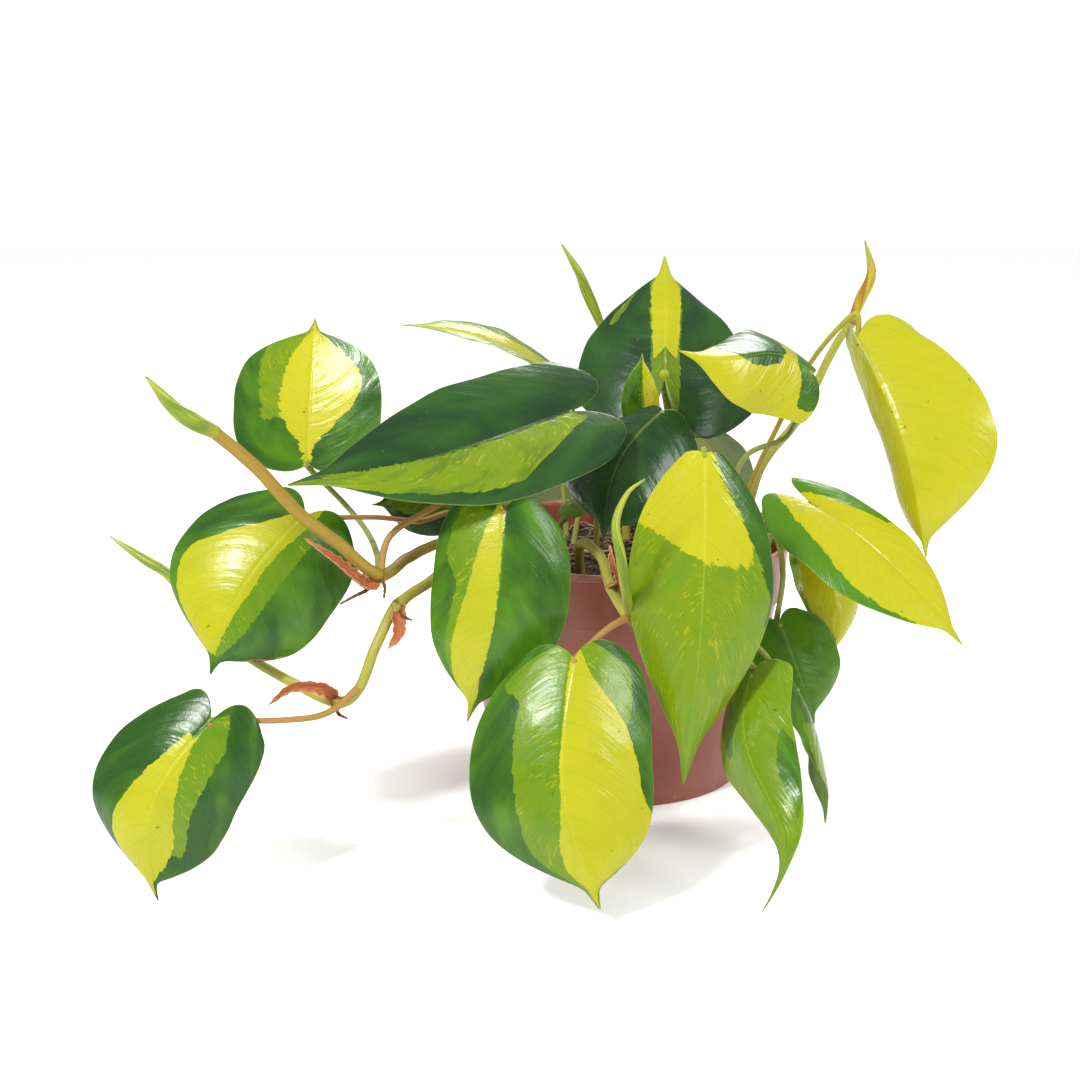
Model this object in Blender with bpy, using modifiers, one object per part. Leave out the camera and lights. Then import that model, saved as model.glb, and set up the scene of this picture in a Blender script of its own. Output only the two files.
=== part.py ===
"""A heart-leaf philodendron with variegated leaves, growing in a round plastic nursery pot.

Metres, +Z up. The origin is the centre of the pot's foot on the ground, and the plant's front faces -Y.
The plant's points are given in millimetres around a pot of the layout size. carried() moves them with
the pot, so the stems keep clearing its rim when the pot is made larger or smaller.
"""

import math
from dataclasses import dataclass

import bmesh
import bpy
import numpy as np
from mathutils import Vector

# Driving dimensions of the pot and its soil
RIM_RADIUS = 0.060
POT_HEIGHT = 0.085
FOOT_RADIUS = 0.0445
BAND_HEIGHT = 0.0195
BAND_TAPER = 0.0016
BAND_STEP = 0.0016
WALL = 0.0016
LIP_OVERHANG = 0.0007
LIP_HEIGHT = 0.0022
FLOOR_THICKNESS = 0.002
DRAIN_RADIUS = 0.0045
DRAIN_RING_RADIUS = 0.028
DRAIN_COUNT = 6
DRAIN_TURN = 0.3  # how far round the first hole lies, as a share of the spacing
SOIL_DEPTH_BELOW_RIM = 0.010

# Driving dimensions of the plant
BLADE_THICKNESS = 0.0008
PETIOLE_RADIUS = 0.0011
PETIOLE_TIP_SCALE = 0.8
SHEATH_RADIUS = 0.0009

# Clearance between pieces that touch on the real plant
GAP = 0.0003

# The pot that the plant's points were laid out around, in the same units as the pot's own sizes
LAYOUT_RIM_RADIUS = 0.060
LAYOUT_POT_HEIGHT = 0.085
LAYOUT_SOIL_DEPTH = 0.010
MILLIMETRE = 0.001

# Facets
TURN_STEPS = 48
DRAIN_FACETS = 12
BLADE_ROWS = 9
BLADE_COLUMNS = 6
ELBOW_LENGTH = 0.004
POINTS_PER_SPAN = 3
THIN_TUBE_RESOLUTION = 1
THICK_TUBE_RESOLUTION = 2
AXIS_MERGE = 0.00001

# The outline of a blade: its half width, as a share of the greatest, from the petiole to the tip
OUTLINE_ALONG = (0.0, 0.10, 0.22, 0.40, 0.60, 0.78, 0.90, 1.0)
OUTLINE_WIDTH = (0.82, 0.94, 1.0, 0.99, 0.86, 0.60, 0.28, 0.02)
LOBE_RISE_POWER = 0.75
LOBE_RISE_SPAN = 0.85
LOBE_FADE_POWER = 3
CURL_START = 0.75


@dataclass
class Stem:
    """A vine, a rolled new leaf or a dried sheath: a tapering tube through its points, in millimetres."""

    name: str
    route: tuple
    radii: tuple
    material: str
    rooted_in: object = "soil"


@dataclass
class Leaf:
    """A heart-shaped blade from its base to its tip, and the route of the petiole that carries it."""

    name: str
    base: tuple
    tip: tuple
    face: tuple
    width: float
    rooted_in: object
    route: tuple
    arch: float = 0.08
    fold: float = -8.0
    cup: float = -14.0
    twist: float = 0.0
    lobe: float = 0.12
    curl: float = 0.0
    sway: float = 0.0
    bow: float = 0.0
    approach: float = 0.55


def spread_at(x, y):
    """How much further out than around the layout pot a place in metres lies, as a ratio."""
    radius = math.hypot(x, y)
    if radius > LAYOUT_RIM_RADIUS:
        return (radius + RIM_RADIUS - LAYOUT_RIM_RADIUS) / radius
    return RIM_RADIUS / LAYOUT_RIM_RADIUS


def carried(point):
    """A point in millimetres around the layout pot, as metres around this pot."""
    x, y, z = (value * MILLIMETRE for value in point)
    spread = spread_at(x, y)
    if z > LAYOUT_POT_HEIGHT:
        height = z + POT_HEIGHT - LAYOUT_POT_HEIGHT
    else:
        height = z * POT_HEIGHT / LAYOUT_POT_HEIGHT
    return Vector((x * spread, y * spread, height))


# ---------------------------------------------------------------- materials


def make_material(name, colour, roughness, metallic=0.0):
    material = bpy.data.materials.new(name)
    material.use_nodes = True
    shader = material.node_tree.nodes["Principled BSDF"]
    shader.inputs["Base Color"].default_value = (*colour, 1.0)
    shader.inputs["Roughness"].default_value = roughness
    shader.inputs["Metallic"].default_value = metallic
    material.diffuse_color = (*colour, 1.0)
    return material


def make_materials():
    return {
        "terracotta plastic": make_material("terracotta plastic", (0.19, 0.052, 0.033), 0.45),
        "potting soil": make_material("potting soil", (0.020, 0.013, 0.010), 0.95),
        "dark leaf": make_material("dark leaf", (0.035, 0.11, 0.022), 0.30),
        "green leaf": make_material("green leaf", (0.10, 0.27, 0.020), 0.32),
        "lime leaf": make_material("lime leaf", (0.38, 0.52, 0.030), 0.35),
        "yellow leaf": make_material("yellow leaf", (0.70, 0.68, 0.045), 0.35),
        "green stem": make_material("green stem", (0.32, 0.38, 0.060), 0.45),
        "brown stem": make_material("brown stem", (0.42, 0.24, 0.060), 0.45),
        "dried sheath": make_material("dried sheath", (0.50, 0.16, 0.050), 0.70),
    }


def finish(obj, collection, material):
    collection.objects.link(obj)
    obj.data.materials.append(material)
    return obj


# ---------------------------------------------------------------- pot and soil


def turned(name, profile, collection, material):
    """A solid turned about the Z axis from a profile of (radius, height) points."""
    mesh = bpy.data.meshes.new(name)
    edges = [(index, index + 1) for index in range(len(profile) - 1)]
    mesh.from_pydata([(radius, 0.0, height) for radius, height in profile], edges, [])
    obj = finish(bpy.data.objects.new(name, mesh), collection, material)
    screw = obj.modifiers.new("turn", "SCREW")
    screw.steps = TURN_STEPS
    screw.render_steps = TURN_STEPS
    screw.use_merge_vertices = True
    screw.merge_threshold = AXIS_MERGE
    return obj


def body_radius(height):
    """The outer radius of the tapering wall under the band."""
    top = POT_HEIGHT - BAND_HEIGHT
    shoulder = RIM_RADIUS - LIP_OVERHANG - BAND_TAPER - BAND_STEP
    return FOOT_RADIUS + (shoulder - FOOT_RADIUS) * height / top


def pot_profile():
    """Out along the inside of the floor, up the inner wall, over the lip and down the outside."""
    band_bottom = POT_HEIGHT - BAND_HEIGHT
    band_top_radius = RIM_RADIUS - LIP_OVERHANG
    band_bottom_radius = band_top_radius - BAND_TAPER
    inner_step = band_bottom + WALL
    lip_round = LIP_HEIGHT / 4
    return [
        (0.0, FLOOR_THICKNESS),
        (body_radius(FLOOR_THICKNESS) - WALL, FLOOR_THICKNESS),
        (body_radius(band_bottom) - WALL, band_bottom),
        (band_bottom_radius - WALL, inner_step),
        (band_top_radius - WALL, POT_HEIGHT - lip_round),
        (band_top_radius - WALL + lip_round, POT_HEIGHT),
        (RIM_RADIUS - lip_round, POT_HEIGHT),
        (RIM_RADIUS, POT_HEIGHT - lip_round),
        (RIM_RADIUS, POT_HEIGHT - LIP_HEIGHT + lip_round),
        (band_top_radius, POT_HEIGHT - LIP_HEIGHT),
        (band_bottom_radius, band_bottom),
        (body_radius(band_bottom), band_bottom),
        (FOOT_RADIUS, 0.0),
        (0.0, 0.0),
    ]


def make_drain_cutter(cutters):
    """One cylinder through the floor for each drain hole."""
    shape = bmesh.new()
    for index in range(DRAIN_COUNT):
        angle = 2 * math.pi * (index + DRAIN_TURN) / DRAIN_COUNT
        made = bmesh.ops.create_cone(
            shape,
            cap_ends=True,
            segments=DRAIN_FACETS,
            radius1=DRAIN_RADIUS,
            radius2=DRAIN_RADIUS,
            depth=4 * FLOOR_THICKNESS,
        )
        centre = Vector((math.cos(angle), math.sin(angle), 0.0)) * DRAIN_RING_RADIUS
        bmesh.ops.translate(shape, verts=made["verts"], vec=centre)
    mesh = bpy.data.meshes.new("drain_cutter")
    shape.to_mesh(mesh)
    shape.free()
    cutter = bpy.data.objects.new("drain_cutter", mesh)
    cutters.objects.link(cutter)
    cutter.hide_render = True
    cutter.display_type = "WIRE"
    return cutter


def make_pot(collection, cutters, material):
    pot = turned("nursery_pot", pot_profile(), collection, material)
    drains = pot.modifiers.new("drain holes", "BOOLEAN")
    drains.operation = "DIFFERENCE"
    drains.object = make_drain_cutter(cutters)


def soil_top():
    return POT_HEIGHT - SOIL_DEPTH_BELOW_RIM


def make_soil(collection, material):
    """The root ball: as wide as the narrow wall below the band lets it be."""
    bottom = FLOOR_THICKNESS + GAP
    shoulder = POT_HEIGHT - BAND_HEIGHT
    shoulder_radius = body_radius(min(shoulder, soil_top())) - WALL - GAP
    profile = [
        (0.0, soil_top()),
        (shoulder_radius, soil_top()),
        (shoulder_radius, min(shoulder, soil_top() - GAP)),
        (body_radius(bottom) - WALL - GAP, bottom),
        (0.0, bottom),
    ]
    turned("potting_soil", profile, collection, material)


# ---------------------------------------------------------------- tubes


def smooth(points):
    """A Catmull-Rom curve that passes through every point."""
    ends = [2 * points[0] - points[1], *points, 2 * points[-1] - points[-2]]
    curve = []
    for before, start, stop, after in zip(ends, ends[1:], ends[2:], ends[3:]):
        for step in range(POINTS_PER_SPAN):
            t = step / POINTS_PER_SPAN
            pull = 2 * before - 5 * start + 4 * stop - after
            swing = 3 * start - before - 3 * stop + after
            curve.append((2 * start + (stop - before) * t + pull * t**2 + swing * t**3) / 2)
    curve.append(points[-1])
    return curve


def tube(name, points, radii, collection, material, resolution):
    """A closed tube through the points, whose radius runs evenly through the given radii."""
    data = bpy.data.curves.new(name, "CURVE")
    data.dimensions = "3D"
    data.bevel_depth = MILLIMETRE
    data.bevel_resolution = resolution
    data.use_fill_caps = True
    spline = data.splines.new("POLY")
    spline.points.add(len(points) - 1)
    along = np.linspace(0.0, 1.0, len(points))
    sizes = np.interp(along, np.linspace(0.0, 1.0, len(radii)), radii) / MILLIMETRE
    for spot, point, size in zip(spline.points, points, sizes):
        spot.co = (*point, 1.0)
        spot.radius = size
    return finish(bpy.data.objects.new(name, data), collection, material)


def out_of_soil(place, toward, radius):
    """Where a stem's flat end stands on the soil. A deeper soil lengthens it down its own line."""
    foot = carried((*place, 0.0))
    foot.z = POT_HEIGHT - LAYOUT_SOIL_DEPTH
    lean = (toward - foot).normalized()
    foot += lean * (soil_top() - foot.z) / lean.z
    foot.z += GAP + radius * math.hypot(lean.x, lean.y)
    return foot


def off_stem(stem, index, toward, radius):
    """Where a side shoot's flat end meets the skin of the stem at one of its points."""
    points = [carried(point) for point in stem.route]
    centre = points[index]
    along = (points[min(index + 1, len(points) - 1)] - points[index - 1]).normalized()
    leaving = (toward - centre).normalized()
    out = (leaving - along * leaving.dot(along)).normalized()
    reach = max(stem.radii) + GAP + radius * abs(leaving.dot(along))
    return centre + out * reach


def start_of(rooted_in, toward, radius, stems):
    if len(rooted_in) == 3:
        _, x, y = rooted_in
        return out_of_soil((x, y), toward, radius)
    name, index = rooted_in
    return off_stem(stems[name], index, toward, radius)


def stem_path(stem, stems):
    """The points of a stem, from where it is rooted; a shoot that follows on starts at the end of it."""
    points = [carried(point) for point in stem.route]
    name = stem.rooted_in[0]
    if stem.rooted_in[-1] == "end":
        before = [carried(point) for point in stems[name].route]
        ahead = (before[-1] - before[-2]).normalized()
        lean = (points[0] - before[-1]).normalized().cross(ahead).length
        return [before[-1] + ahead * (GAP + stem.radii[0] * lean), *points]
    return [start_of(stem.rooted_in, points[0], stem.radii[0], stems), *points]


# ---------------------------------------------------------------- leaves


def blade_frame(leaf):
    """The base, the length and the three axes of a blade: across it, along it and out of its face."""
    base = carried(leaf.base)
    reach = carried(leaf.tip) - base
    along = reach.normalized()
    face = Vector(leaf.face)
    out = (face - along * face.dot(along)).normalized()
    across = along.cross(out)
    return base, reach.length, across, along, out


def blade_width(leaf):
    """The greatest width of a blade: it grows with the pot as the places around it do."""
    x, y, _ = leaf.base
    return leaf.width * MILLIMETRE * spread_at(x * MILLIMETRE, y * MILLIMETRE)


def blade_points(leaf, s, t):
    """Points of a blade for arrays s (0 at the petiole, 1 at the tip) and t (-1 to 1 across it)."""
    base, length, across, along, out = (np.array(item) for item in blade_frame(leaf))
    half_width = blade_width(leaf) / 2 * np.interp(s, OUTLINE_ALONG, OUTLINE_WIDTH)
    side = np.abs(t) * half_width
    rise = np.sin(math.pi * LOBE_RISE_SPAN * np.abs(t) ** LOBE_RISE_POWER)
    back = leaf.lobe * length * rise * (1 - s) ** LOBE_FADE_POWER
    slope = np.arctan(4 * leaf.arch * (1 - 2 * s))
    bend = np.radians(leaf.fold + leaf.cup * np.abs(t))
    turn = np.radians(leaf.twist) * s**2
    local_x = np.sign(t) * side * np.cos(bend)
    local_z = side * np.sin(bend)
    x = local_x * np.cos(turn) - local_z * np.sin(turn)
    z = local_x * np.sin(turn) + local_z * np.cos(turn)
    tip_part = np.clip((s - CURL_START) / (1 - CURL_START), 0.0, 1.0)
    swing = leaf.bow * np.sin(math.pi * s) + leaf.sway * np.sin(2 * math.pi * s)
    x = x + length * (swing + leaf.curl * tip_part**2)
    y = length * s - back * np.cos(slope) - z * np.sin(slope)
    z = 4 * length * leaf.arch * s * (1 - s) - back * np.sin(slope) + z * np.cos(slope)
    return base + x[:, None] * across + y[:, None] * along + z[:, None] * out


def make_blade(leaf, collection, material):
    shape = bmesh.new()
    bmesh.ops.create_grid(shape, x_segments=BLADE_COLUMNS, y_segments=BLADE_ROWS, size=1.0)
    flat = np.array([vertex.co for vertex in shape.verts])
    for vertex, place in zip(shape.verts, blade_points(leaf, (flat[:, 1] + 1) / 2, flat[:, 0])):
        vertex.co = place
    mesh = bpy.data.meshes.new(leaf.name)
    shape.to_mesh(mesh)
    shape.free()
    mesh.shade_smooth()
    obj = finish(bpy.data.objects.new(leaf.name, mesh), collection, material)
    thick = obj.modifiers.new("thickness", "SOLIDIFY")
    thick.thickness = BLADE_THICKNESS
    thick.offset = 0.0


def make_petiole(leaf, stems, collection, material):
    """The stalk of a leaf. It meets the underside of the blade just inside the notch of the heart."""
    _, _, _, along, out = blade_frame(leaf)
    slope = math.atan(4 * leaf.arch)
    ahead = along * math.cos(slope) + out * math.sin(slope)
    normal = out * math.cos(slope) - along * math.sin(slope)
    arriving = (ahead * leaf.approach + normal).normalized()
    end_radius = PETIOLE_RADIUS * PETIOLE_TIP_SCALE
    tilt = math.sqrt(1 - arriving.dot(normal) ** 2)
    roof = math.tan(math.radians(max(0.0, -leaf.fold - leaf.cup / 2)))
    drop = BLADE_THICKNESS / 2 + GAP + end_radius * (tilt + roof)
    seat = carried(leaf.base) + ahead * end_radius - normal * drop
    route = [carried(point) for point in leaf.route]
    route += [seat - arriving * ELBOW_LENGTH, seat]
    start = start_of(leaf.rooted_in, route[0], PETIOLE_RADIUS, stems)
    name = leaf.name.replace("leaf", "petiole")
    radii = (PETIOLE_RADIUS, PETIOLE_RADIUS, end_radius)
    tube(name, smooth([start, *route]), radii, collection, material, THIN_TUBE_RESOLUTION)


# ---------------------------------------------------------------- the plant's layout, in millimetres

VINES = (
    Stem(
        "vine_left_upper",
        (
            (-46, -34, 92), (-61, -44, 92), (-70, -64, 92), (-77, -80, 91), (-88, -86, 102),
            (-99, -92, 113), (-110, -98, 128), (-121, -104, 140),
        ),
        (0.0017, 0.0018, 0.0021, 0.0020),
        "brown stem",
        ("soil", -34, -22),
    ),
    Stem(
        "vine_left_lower",
        (
            (-38, -44, 91), (-52, -54, 90), (-62, -68, 86), (-72, -80, 81), (-78, -87, 70),
            (-83, -91, 58), (-90, -91, 54), (-104, -84, 58), (-119, -74, 63), (-131, -66, 71),
            (-142, -60, 82),
        ),
        (0.0017, 0.0018, 0.0017, 0.0016),
        "green stem",
        ("soil", -24, -36),
    ),
    Stem(
        "vine_front",
        (
            (-15, -46, 92), (-9, -60, 92), (-6, -73, 85), (-1, -84, 79), (8, -80, 73),
            (19, -76, 70), (29, -73, 67),
        ),
        (0.0017, 0.0017, 0.0016),
        "green stem",
        ("soil", -14, -32),
    ),
    Stem(
        "vine_right",
        ((50, 10, 105), (64, 13, 124), (75, 13, 148), (81, 12, 158)),
        (0.0018, 0.0017, 0.0015),
        "green stem",
        ("soil", 44, 8),
    ),
    Stem(
        "vine_back",
        ((3, 36, 110), (-2, 42, 135), (-5, 42, 153)),
        (0.0017, 0.0015, 0.0014),
        "green stem",
        ("soil", 4, 28),
    ),
)

NEW_LEAVES = (
    Stem(
        "new_leaf_left_upper",
        ((-126, -107, 143), (-131, -109, 148), (-137, -111, 156)),
        (0.0021, 0.0025, 0.0019, 0.0003),
        "lime leaf",
        ("vine_left_upper", "end"),
    ),
    Stem(
        "new_leaf_left_lower",
        ((-148, -57, 86), (-154, -55, 89), (-166, -51, 96)),
        (0.0016, 0.0019, 0.0014, 0.0003),
        "lime leaf",
        ("vine_left_lower", "end"),
    ),
    Stem(
        "new_leaf_front",
        ((-4, -97, 100), (-6, -101, 112), (-3, -102, 121), (2, -101, 125)),
        (0.0013, 0.0022, 0.0018, 0.0003),
        "lime leaf",
        ("vine_front", 3),
    ),
    Stem(
        "new_leaf_right",
        ((84, 12, 166), (87, 11, 175), (84, 10, 186)),
        (0.0015, 0.0026, 0.0018, 0.0003),
        "lime leaf",
        ("vine_right", "end"),
    ),
    Stem(
        "new_leaf_back",
        ((-9, 42, 162), (-14, 41, 173), (-20, 40, 183)),
        (0.0014, 0.0020, 0.0016, 0.0003),
        "lime leaf",
        ("vine_back", "end"),
    ),
)

SHEATHS = (
    Stem(
        "sheath_left_upper",
        ((-84, -90, 92), (-92, -95, 99), (-98, -98, 104)),
        (SHEATH_RADIUS, SHEATH_RADIUS, SHEATH_RADIUS / 3),
        "dried sheath",
        ("vine_left_upper", 3),
    ),
    Stem(
        "sheath_left_middle",
        ((-67, -84, 78), (-66, -86, 72), (-70, -88, 67)),
        (SHEATH_RADIUS, SHEATH_RADIUS, SHEATH_RADIUS / 3),
        "dried sheath",
        ("vine_left_lower", 3),
    ),
    Stem(
        "sheath_left_lower",
        ((-93, -95, 60), (-102, -97, 61), (-109, -99, 56)),
        (SHEATH_RADIUS, SHEATH_RADIUS, SHEATH_RADIUS / 3),
        "dried sheath",
        ("vine_left_lower", 6),
    ),
    Stem(
        "sheath_front",
        ((-9, -80, 92), (-13, -84, 99), (-14, -86, 106)),
        (SHEATH_RADIUS, SHEATH_RADIUS, SHEATH_RADIUS / 3),
        "dried sheath",
        ("vine_front", 2),
    ),
)

LEAVES = (
    Leaf(
        "leaf_left_top", (-97, -56, 117), (-96, -36, 163), (0, -1, 0.4), 46,
        ("vine_left_upper", 3), ((-79, -66, 94), (-84, -50, 98), (-92, -44, 106)),
        fold=4, cup=8, arch=0.05, lobe=0.06,
    ),
    Leaf(
        "leaf_left_middle", (-97, -75, 108), (-127, -94, 64), (0.1, -1, 0.45), 52,
        ("soil", -42, -6), ((-54, -28, 98), (-67, -50, 101), (-80, -62, 105)), lobe=0.13, bow=0.08,
    ),
    Leaf(
        "leaf_left_bottom", (-120, -112, 55), (-141, -124, 6), (-0.05, -1, 0.4), 45,
        ("vine_left_lower", 5), ((-92, -98, 53), (-104, -104, 53)),
        lobe=0.16, curl=-0.06, bow=0.13,
    ),
    Leaf(
        "leaf_left_inner", (-50, -18, 108), (-81, -36, 114), (-0.2, -1, 0.3), 26,
        ("soil", -28, -6), ((-38, -10, 100),),
    ),
    Leaf(
        "leaf_back_long", (-18, -46, 136), (-103, -85, 120), (0.0, -0.65, 0.75), 50,
        ("soil", -8, 2), ((-8, -8, 112), (-8, -34, 128)), fold=12, cup=-10,
        arch=0.04, lobe=0.2, bow=-0.07,
    ),
    Leaf(
        "leaf_back_narrow", (-20, 35, 134), (-76, 11, 157), (0, -0.25, 1), 32,
        ("soil", -16, 18), ((-11, 26, 112),), fold=20,
    ),
    Leaf(
        "leaf_crown", (15, 0, 147), (17, 54, 177), (0.05, -0.45, 0.9), 76,
        ("soil", 20, 4), ((20, 8, 112), (17, 10, 132)), arch=0.18, lobe=0.5, fold=-23,
    ),
    Leaf(
        "leaf_new_centre", (7, -16, 128), (6, -18, 151), (-0.3, -1, 0.1), 14,
        ("soil", 8, -18), ((9, -16, 108),), fold=35,
    ),
    Leaf(
        "leaf_right_top", (64, -20, 131), (15, -44, 156), (0.2, -0.6, 0.8), 32,
        ("soil", 34, -18), ((40, -14, 112), (56, -16, 123)), fold=0, cup=-6,
        bow=0.28, arch=0.12, lobe=0.05,
    ),
    Leaf(
        "leaf_right_yellow", (80, -20, 161), (99, -50, 90), (-0.65, -1, 0.3), 70,
        ("soil", 38, 0), ((46, 0, 103), (55, -2, 125), (63, -8, 145), (71, -14, 158), (77, -17, 164)),
        fold=-38, lobe=0.01, bow=-0.10, approach=3.0,
    ),
    Leaf(
        "leaf_right_middle", (55, -46, 114), (101, -84, 70), (0.2, -0.8, 0.7), 46,
        ("soil", 44, -22), ((48, -34, 104),),
    ),
    Leaf(
        "leaf_right_hanging", (66, -32, 93), (73, -46, 54), (0.2, -1, 0.3), 26,
        ("soil", 48, -8), ((58, -18, 97), (65, -27, 100)), twist=30,
    ),
    Leaf(
        "leaf_middle_dark", (14, -34, 129), (-5, -60, 92), (-0.35, -0.8, 0.5), 40,
        ("soil", 12, -30), ((18, -26, 112), (20, -26, 125)), cup=-25, bow=0.1,
    ),
    Leaf(
        "leaf_front_large", (18, -83, 130), (15, -102, 32), (0, -1, 0.3), 50,
        ("soil", 30, -32), ((38, -54, 106), (32, -70, 126)), arch=0.03, lobe=0.05, bow=-0.06,
    ),
    Leaf(
        "leaf_front_left", (-39, -84, 112), (-50, -94, 49), (-0.05, -1, 0.3), 44,
        ("vine_left_upper", 3), ((-74, -76, 102), (-64, -70, 108), (-50, -67, 114)),
        lobe=0.09, bow=-0.05,
    ),
    Leaf(
        "leaf_front_bottom", (-18, -108, 73), (-11, -134, 7), (0, -1, 0.45), 56,
        ("vine_front", 3), ((-8, -94, 78),), lobe=0.09, bow=0.1,
    ),
    Leaf(
        "leaf_low_front", (37, -83, 60), (40, -130, 4), (-0.7, -0.9, 0.1), 30,
        ("vine_front", 6), ((33, -76, 67),), sway=0.04, curl=-0.05, lobe=0.06,
    ),
    Leaf(
        "leaf_low_dark", (49, -58, 69), (58, -66, 41), (0.1, -1, 0.3), 28,
        ("soil", 38, -33), ((47, -44, 95), (50, -54, 85)),
    ),
    Leaf(
        "leaf_low_right", (52, -78, 54), (60, -92, 15), (0.9, -0.3, 0.2), 24,
        ("vine_front", 5), ((30, -72, 72), (42, -73, 64)), twist=60,
    ),
    Leaf(
        "leaf_soil_small", (-20, -19, 99), (-3, -26, 104), (0, -0.5, 1), 13,
        ("soil", -22, -14), ((-23, -15, 88),),
    ),
    Leaf(
        "leaf_rear_right", (30, 60, 112), (42, 92, 64), (0.1, 0.8, 0.6), 46,
        ("soil", 22, 34), ((25, 46, 104),),
    ),
    Leaf(
        "leaf_rear_left", (-24, 56, 110), (-38, 88, 64), (-0.1, 0.8, 0.6), 44,
        ("soil", -18, 34), ((-20, 44, 104),),
    ),
)

LEAF_COLOURS = {
    "dark leaf": (
        "leaf_back_long", "leaf_crown", "leaf_middle_dark", "leaf_low_dark", "leaf_left_inner",
    ),
    "yellow leaf": ("leaf_right_yellow", "leaf_right_middle", "leaf_right_hanging", "leaf_right_top"),
    "lime leaf": (
        "leaf_back_narrow", "leaf_new_centre", "leaf_soil_small", "leaf_front_large",
        "leaf_low_front", "leaf_low_right",
    ),
}

BROWN_PETIOLES = (
    "leaf_left_middle", "leaf_left_bottom", "leaf_front_left", "leaf_front_bottom",
    "leaf_right_yellow",
)


def colour_of(leaf):
    for material, names in LEAF_COLOURS.items():
        if leaf.name in names:
            return material
    return "green leaf"


# ---------------------------------------------------------------- assembly


def make_plant(collection, materials):
    stems = {stem.name: stem for stem in VINES}
    for stem in VINES + NEW_LEAVES + SHEATHS:
        path = smooth(stem_path(stem, stems))
        resolution = THIN_TUBE_RESOLUTION if stem in SHEATHS else THICK_TUBE_RESOLUTION
        tube(stem.name, path, stem.radii, collection, materials[stem.material], resolution)
    for leaf in LEAVES:
        make_blade(leaf, collection, materials[colour_of(leaf)])
        stalk = "brown stem" if leaf.name in BROWN_PETIOLES else "green stem"
        make_petiole(leaf, stems, collection, materials[stalk])


def main():
    for obj in list(bpy.data.objects):
        bpy.data.objects.remove(obj, do_unlink=True)
    collection = bpy.data.collections.new("potted_philodendron")
    cutters = bpy.data.collections.new("cutters")
    cutters.hide_render = True
    for group in (collection, cutters):
        bpy.context.scene.collection.children.link(group)
    materials = make_materials()
    make_pot(collection, cutters, materials["terracotta plastic"])
    make_soil(collection, materials["potting soil"])
    make_plant(collection, materials)


main()
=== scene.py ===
"""A variegated heart-leaf philodendron in a terracotta-coloured nursery pot, finished for close viewing.

Metres, +Z up, origin at the centre of the pot's foot. The plant's points are written in millimetres.
Each leaf, petiole, vine, rolled new leaf and dried sheath is its own surface and stands for the CAD
node of the same name.
"""

import math

import bpy
import numpy as np
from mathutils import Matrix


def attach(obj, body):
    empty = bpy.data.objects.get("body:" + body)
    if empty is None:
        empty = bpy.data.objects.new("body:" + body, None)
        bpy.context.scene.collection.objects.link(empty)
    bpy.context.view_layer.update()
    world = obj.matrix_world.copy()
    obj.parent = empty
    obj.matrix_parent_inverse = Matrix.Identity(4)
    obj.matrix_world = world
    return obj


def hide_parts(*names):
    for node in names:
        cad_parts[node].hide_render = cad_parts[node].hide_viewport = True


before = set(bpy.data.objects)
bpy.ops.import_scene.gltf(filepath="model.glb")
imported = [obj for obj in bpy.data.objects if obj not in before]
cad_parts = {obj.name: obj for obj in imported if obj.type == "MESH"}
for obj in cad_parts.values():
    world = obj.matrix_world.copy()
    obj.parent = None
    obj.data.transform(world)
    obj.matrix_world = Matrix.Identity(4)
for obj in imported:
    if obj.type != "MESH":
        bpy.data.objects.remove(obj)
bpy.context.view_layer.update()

MM = 0.001

# ---------------------------------------------------------------- the pot's sizes, as in the CAD

RIM_RADIUS = 0.060
POT_HEIGHT = 0.085
FOOT_RADIUS = 0.0445
BAND_HEIGHT = 0.0195
BAND_TAPER = 0.0016
BAND_STEP = 0.0016
WALL = 0.0016
LIP_OVERHANG = 0.0007
LIP_HEIGHT = 0.0022
FLOOR_THICKNESS = 0.002
DRAIN_RADIUS = 0.0045
DRAIN_RING_RADIUS = 0.028
DRAIN_COUNT = 6
DRAIN_TURN = 0.3
SOIL_TOP = 0.075
SOIL_RADIUS = 0.0542
SOIL_GAP = 0.0003


# ---------------------------------------------------------------- meshes from arrays


def piece(name, points, faces, material, nodes=(), fields=None, sharp=None):
    """A closed mesh from an array of points and a list of face arrays, one array for each corner count.

    It stands still with the root, takes its finish from a slot and replaces its nodes. Each field is a
    number for every point, and edges sharper than sharp degrees are left unsmoothed."""
    faces = [np.asarray(block, np.int32) for block in outward(points, faces)]
    loops = np.concatenate([block.ravel() for block in faces])
    counts = np.concatenate([np.full(len(block), block.shape[1], np.int32) for block in faces])
    mesh = bpy.data.meshes.new(name)
    mesh.vertices.add(len(points))
    mesh.vertices.foreach_set("co", np.asarray(points, np.float32).ravel())
    mesh.loops.add(len(loops))
    mesh.loops.foreach_set("vertex_index", loops)
    mesh.polygons.add(len(counts))
    mesh.polygons.foreach_set("loop_start", np.concatenate([[0], np.cumsum(counts)[:-1]]).astype(np.int32))
    mesh.update(calc_edges=True)
    mesh.shade_smooth()
    if sharp is not None:
        mesh.set_sharp_from_angle(angle=math.radians(sharp))
    for label, values in (fields or {}).items():
        layer = mesh.attributes.new(label, "FLOAT", "POINT")
        layer.data.foreach_set("value", np.asarray(values, np.float32).ravel())
    mesh.materials.append(material)
    obj = bpy.data.objects.new(name, mesh)
    bpy.context.scene.collection.objects.link(obj)
    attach(obj, "root")
    if nodes:
        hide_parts(*nodes)


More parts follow.
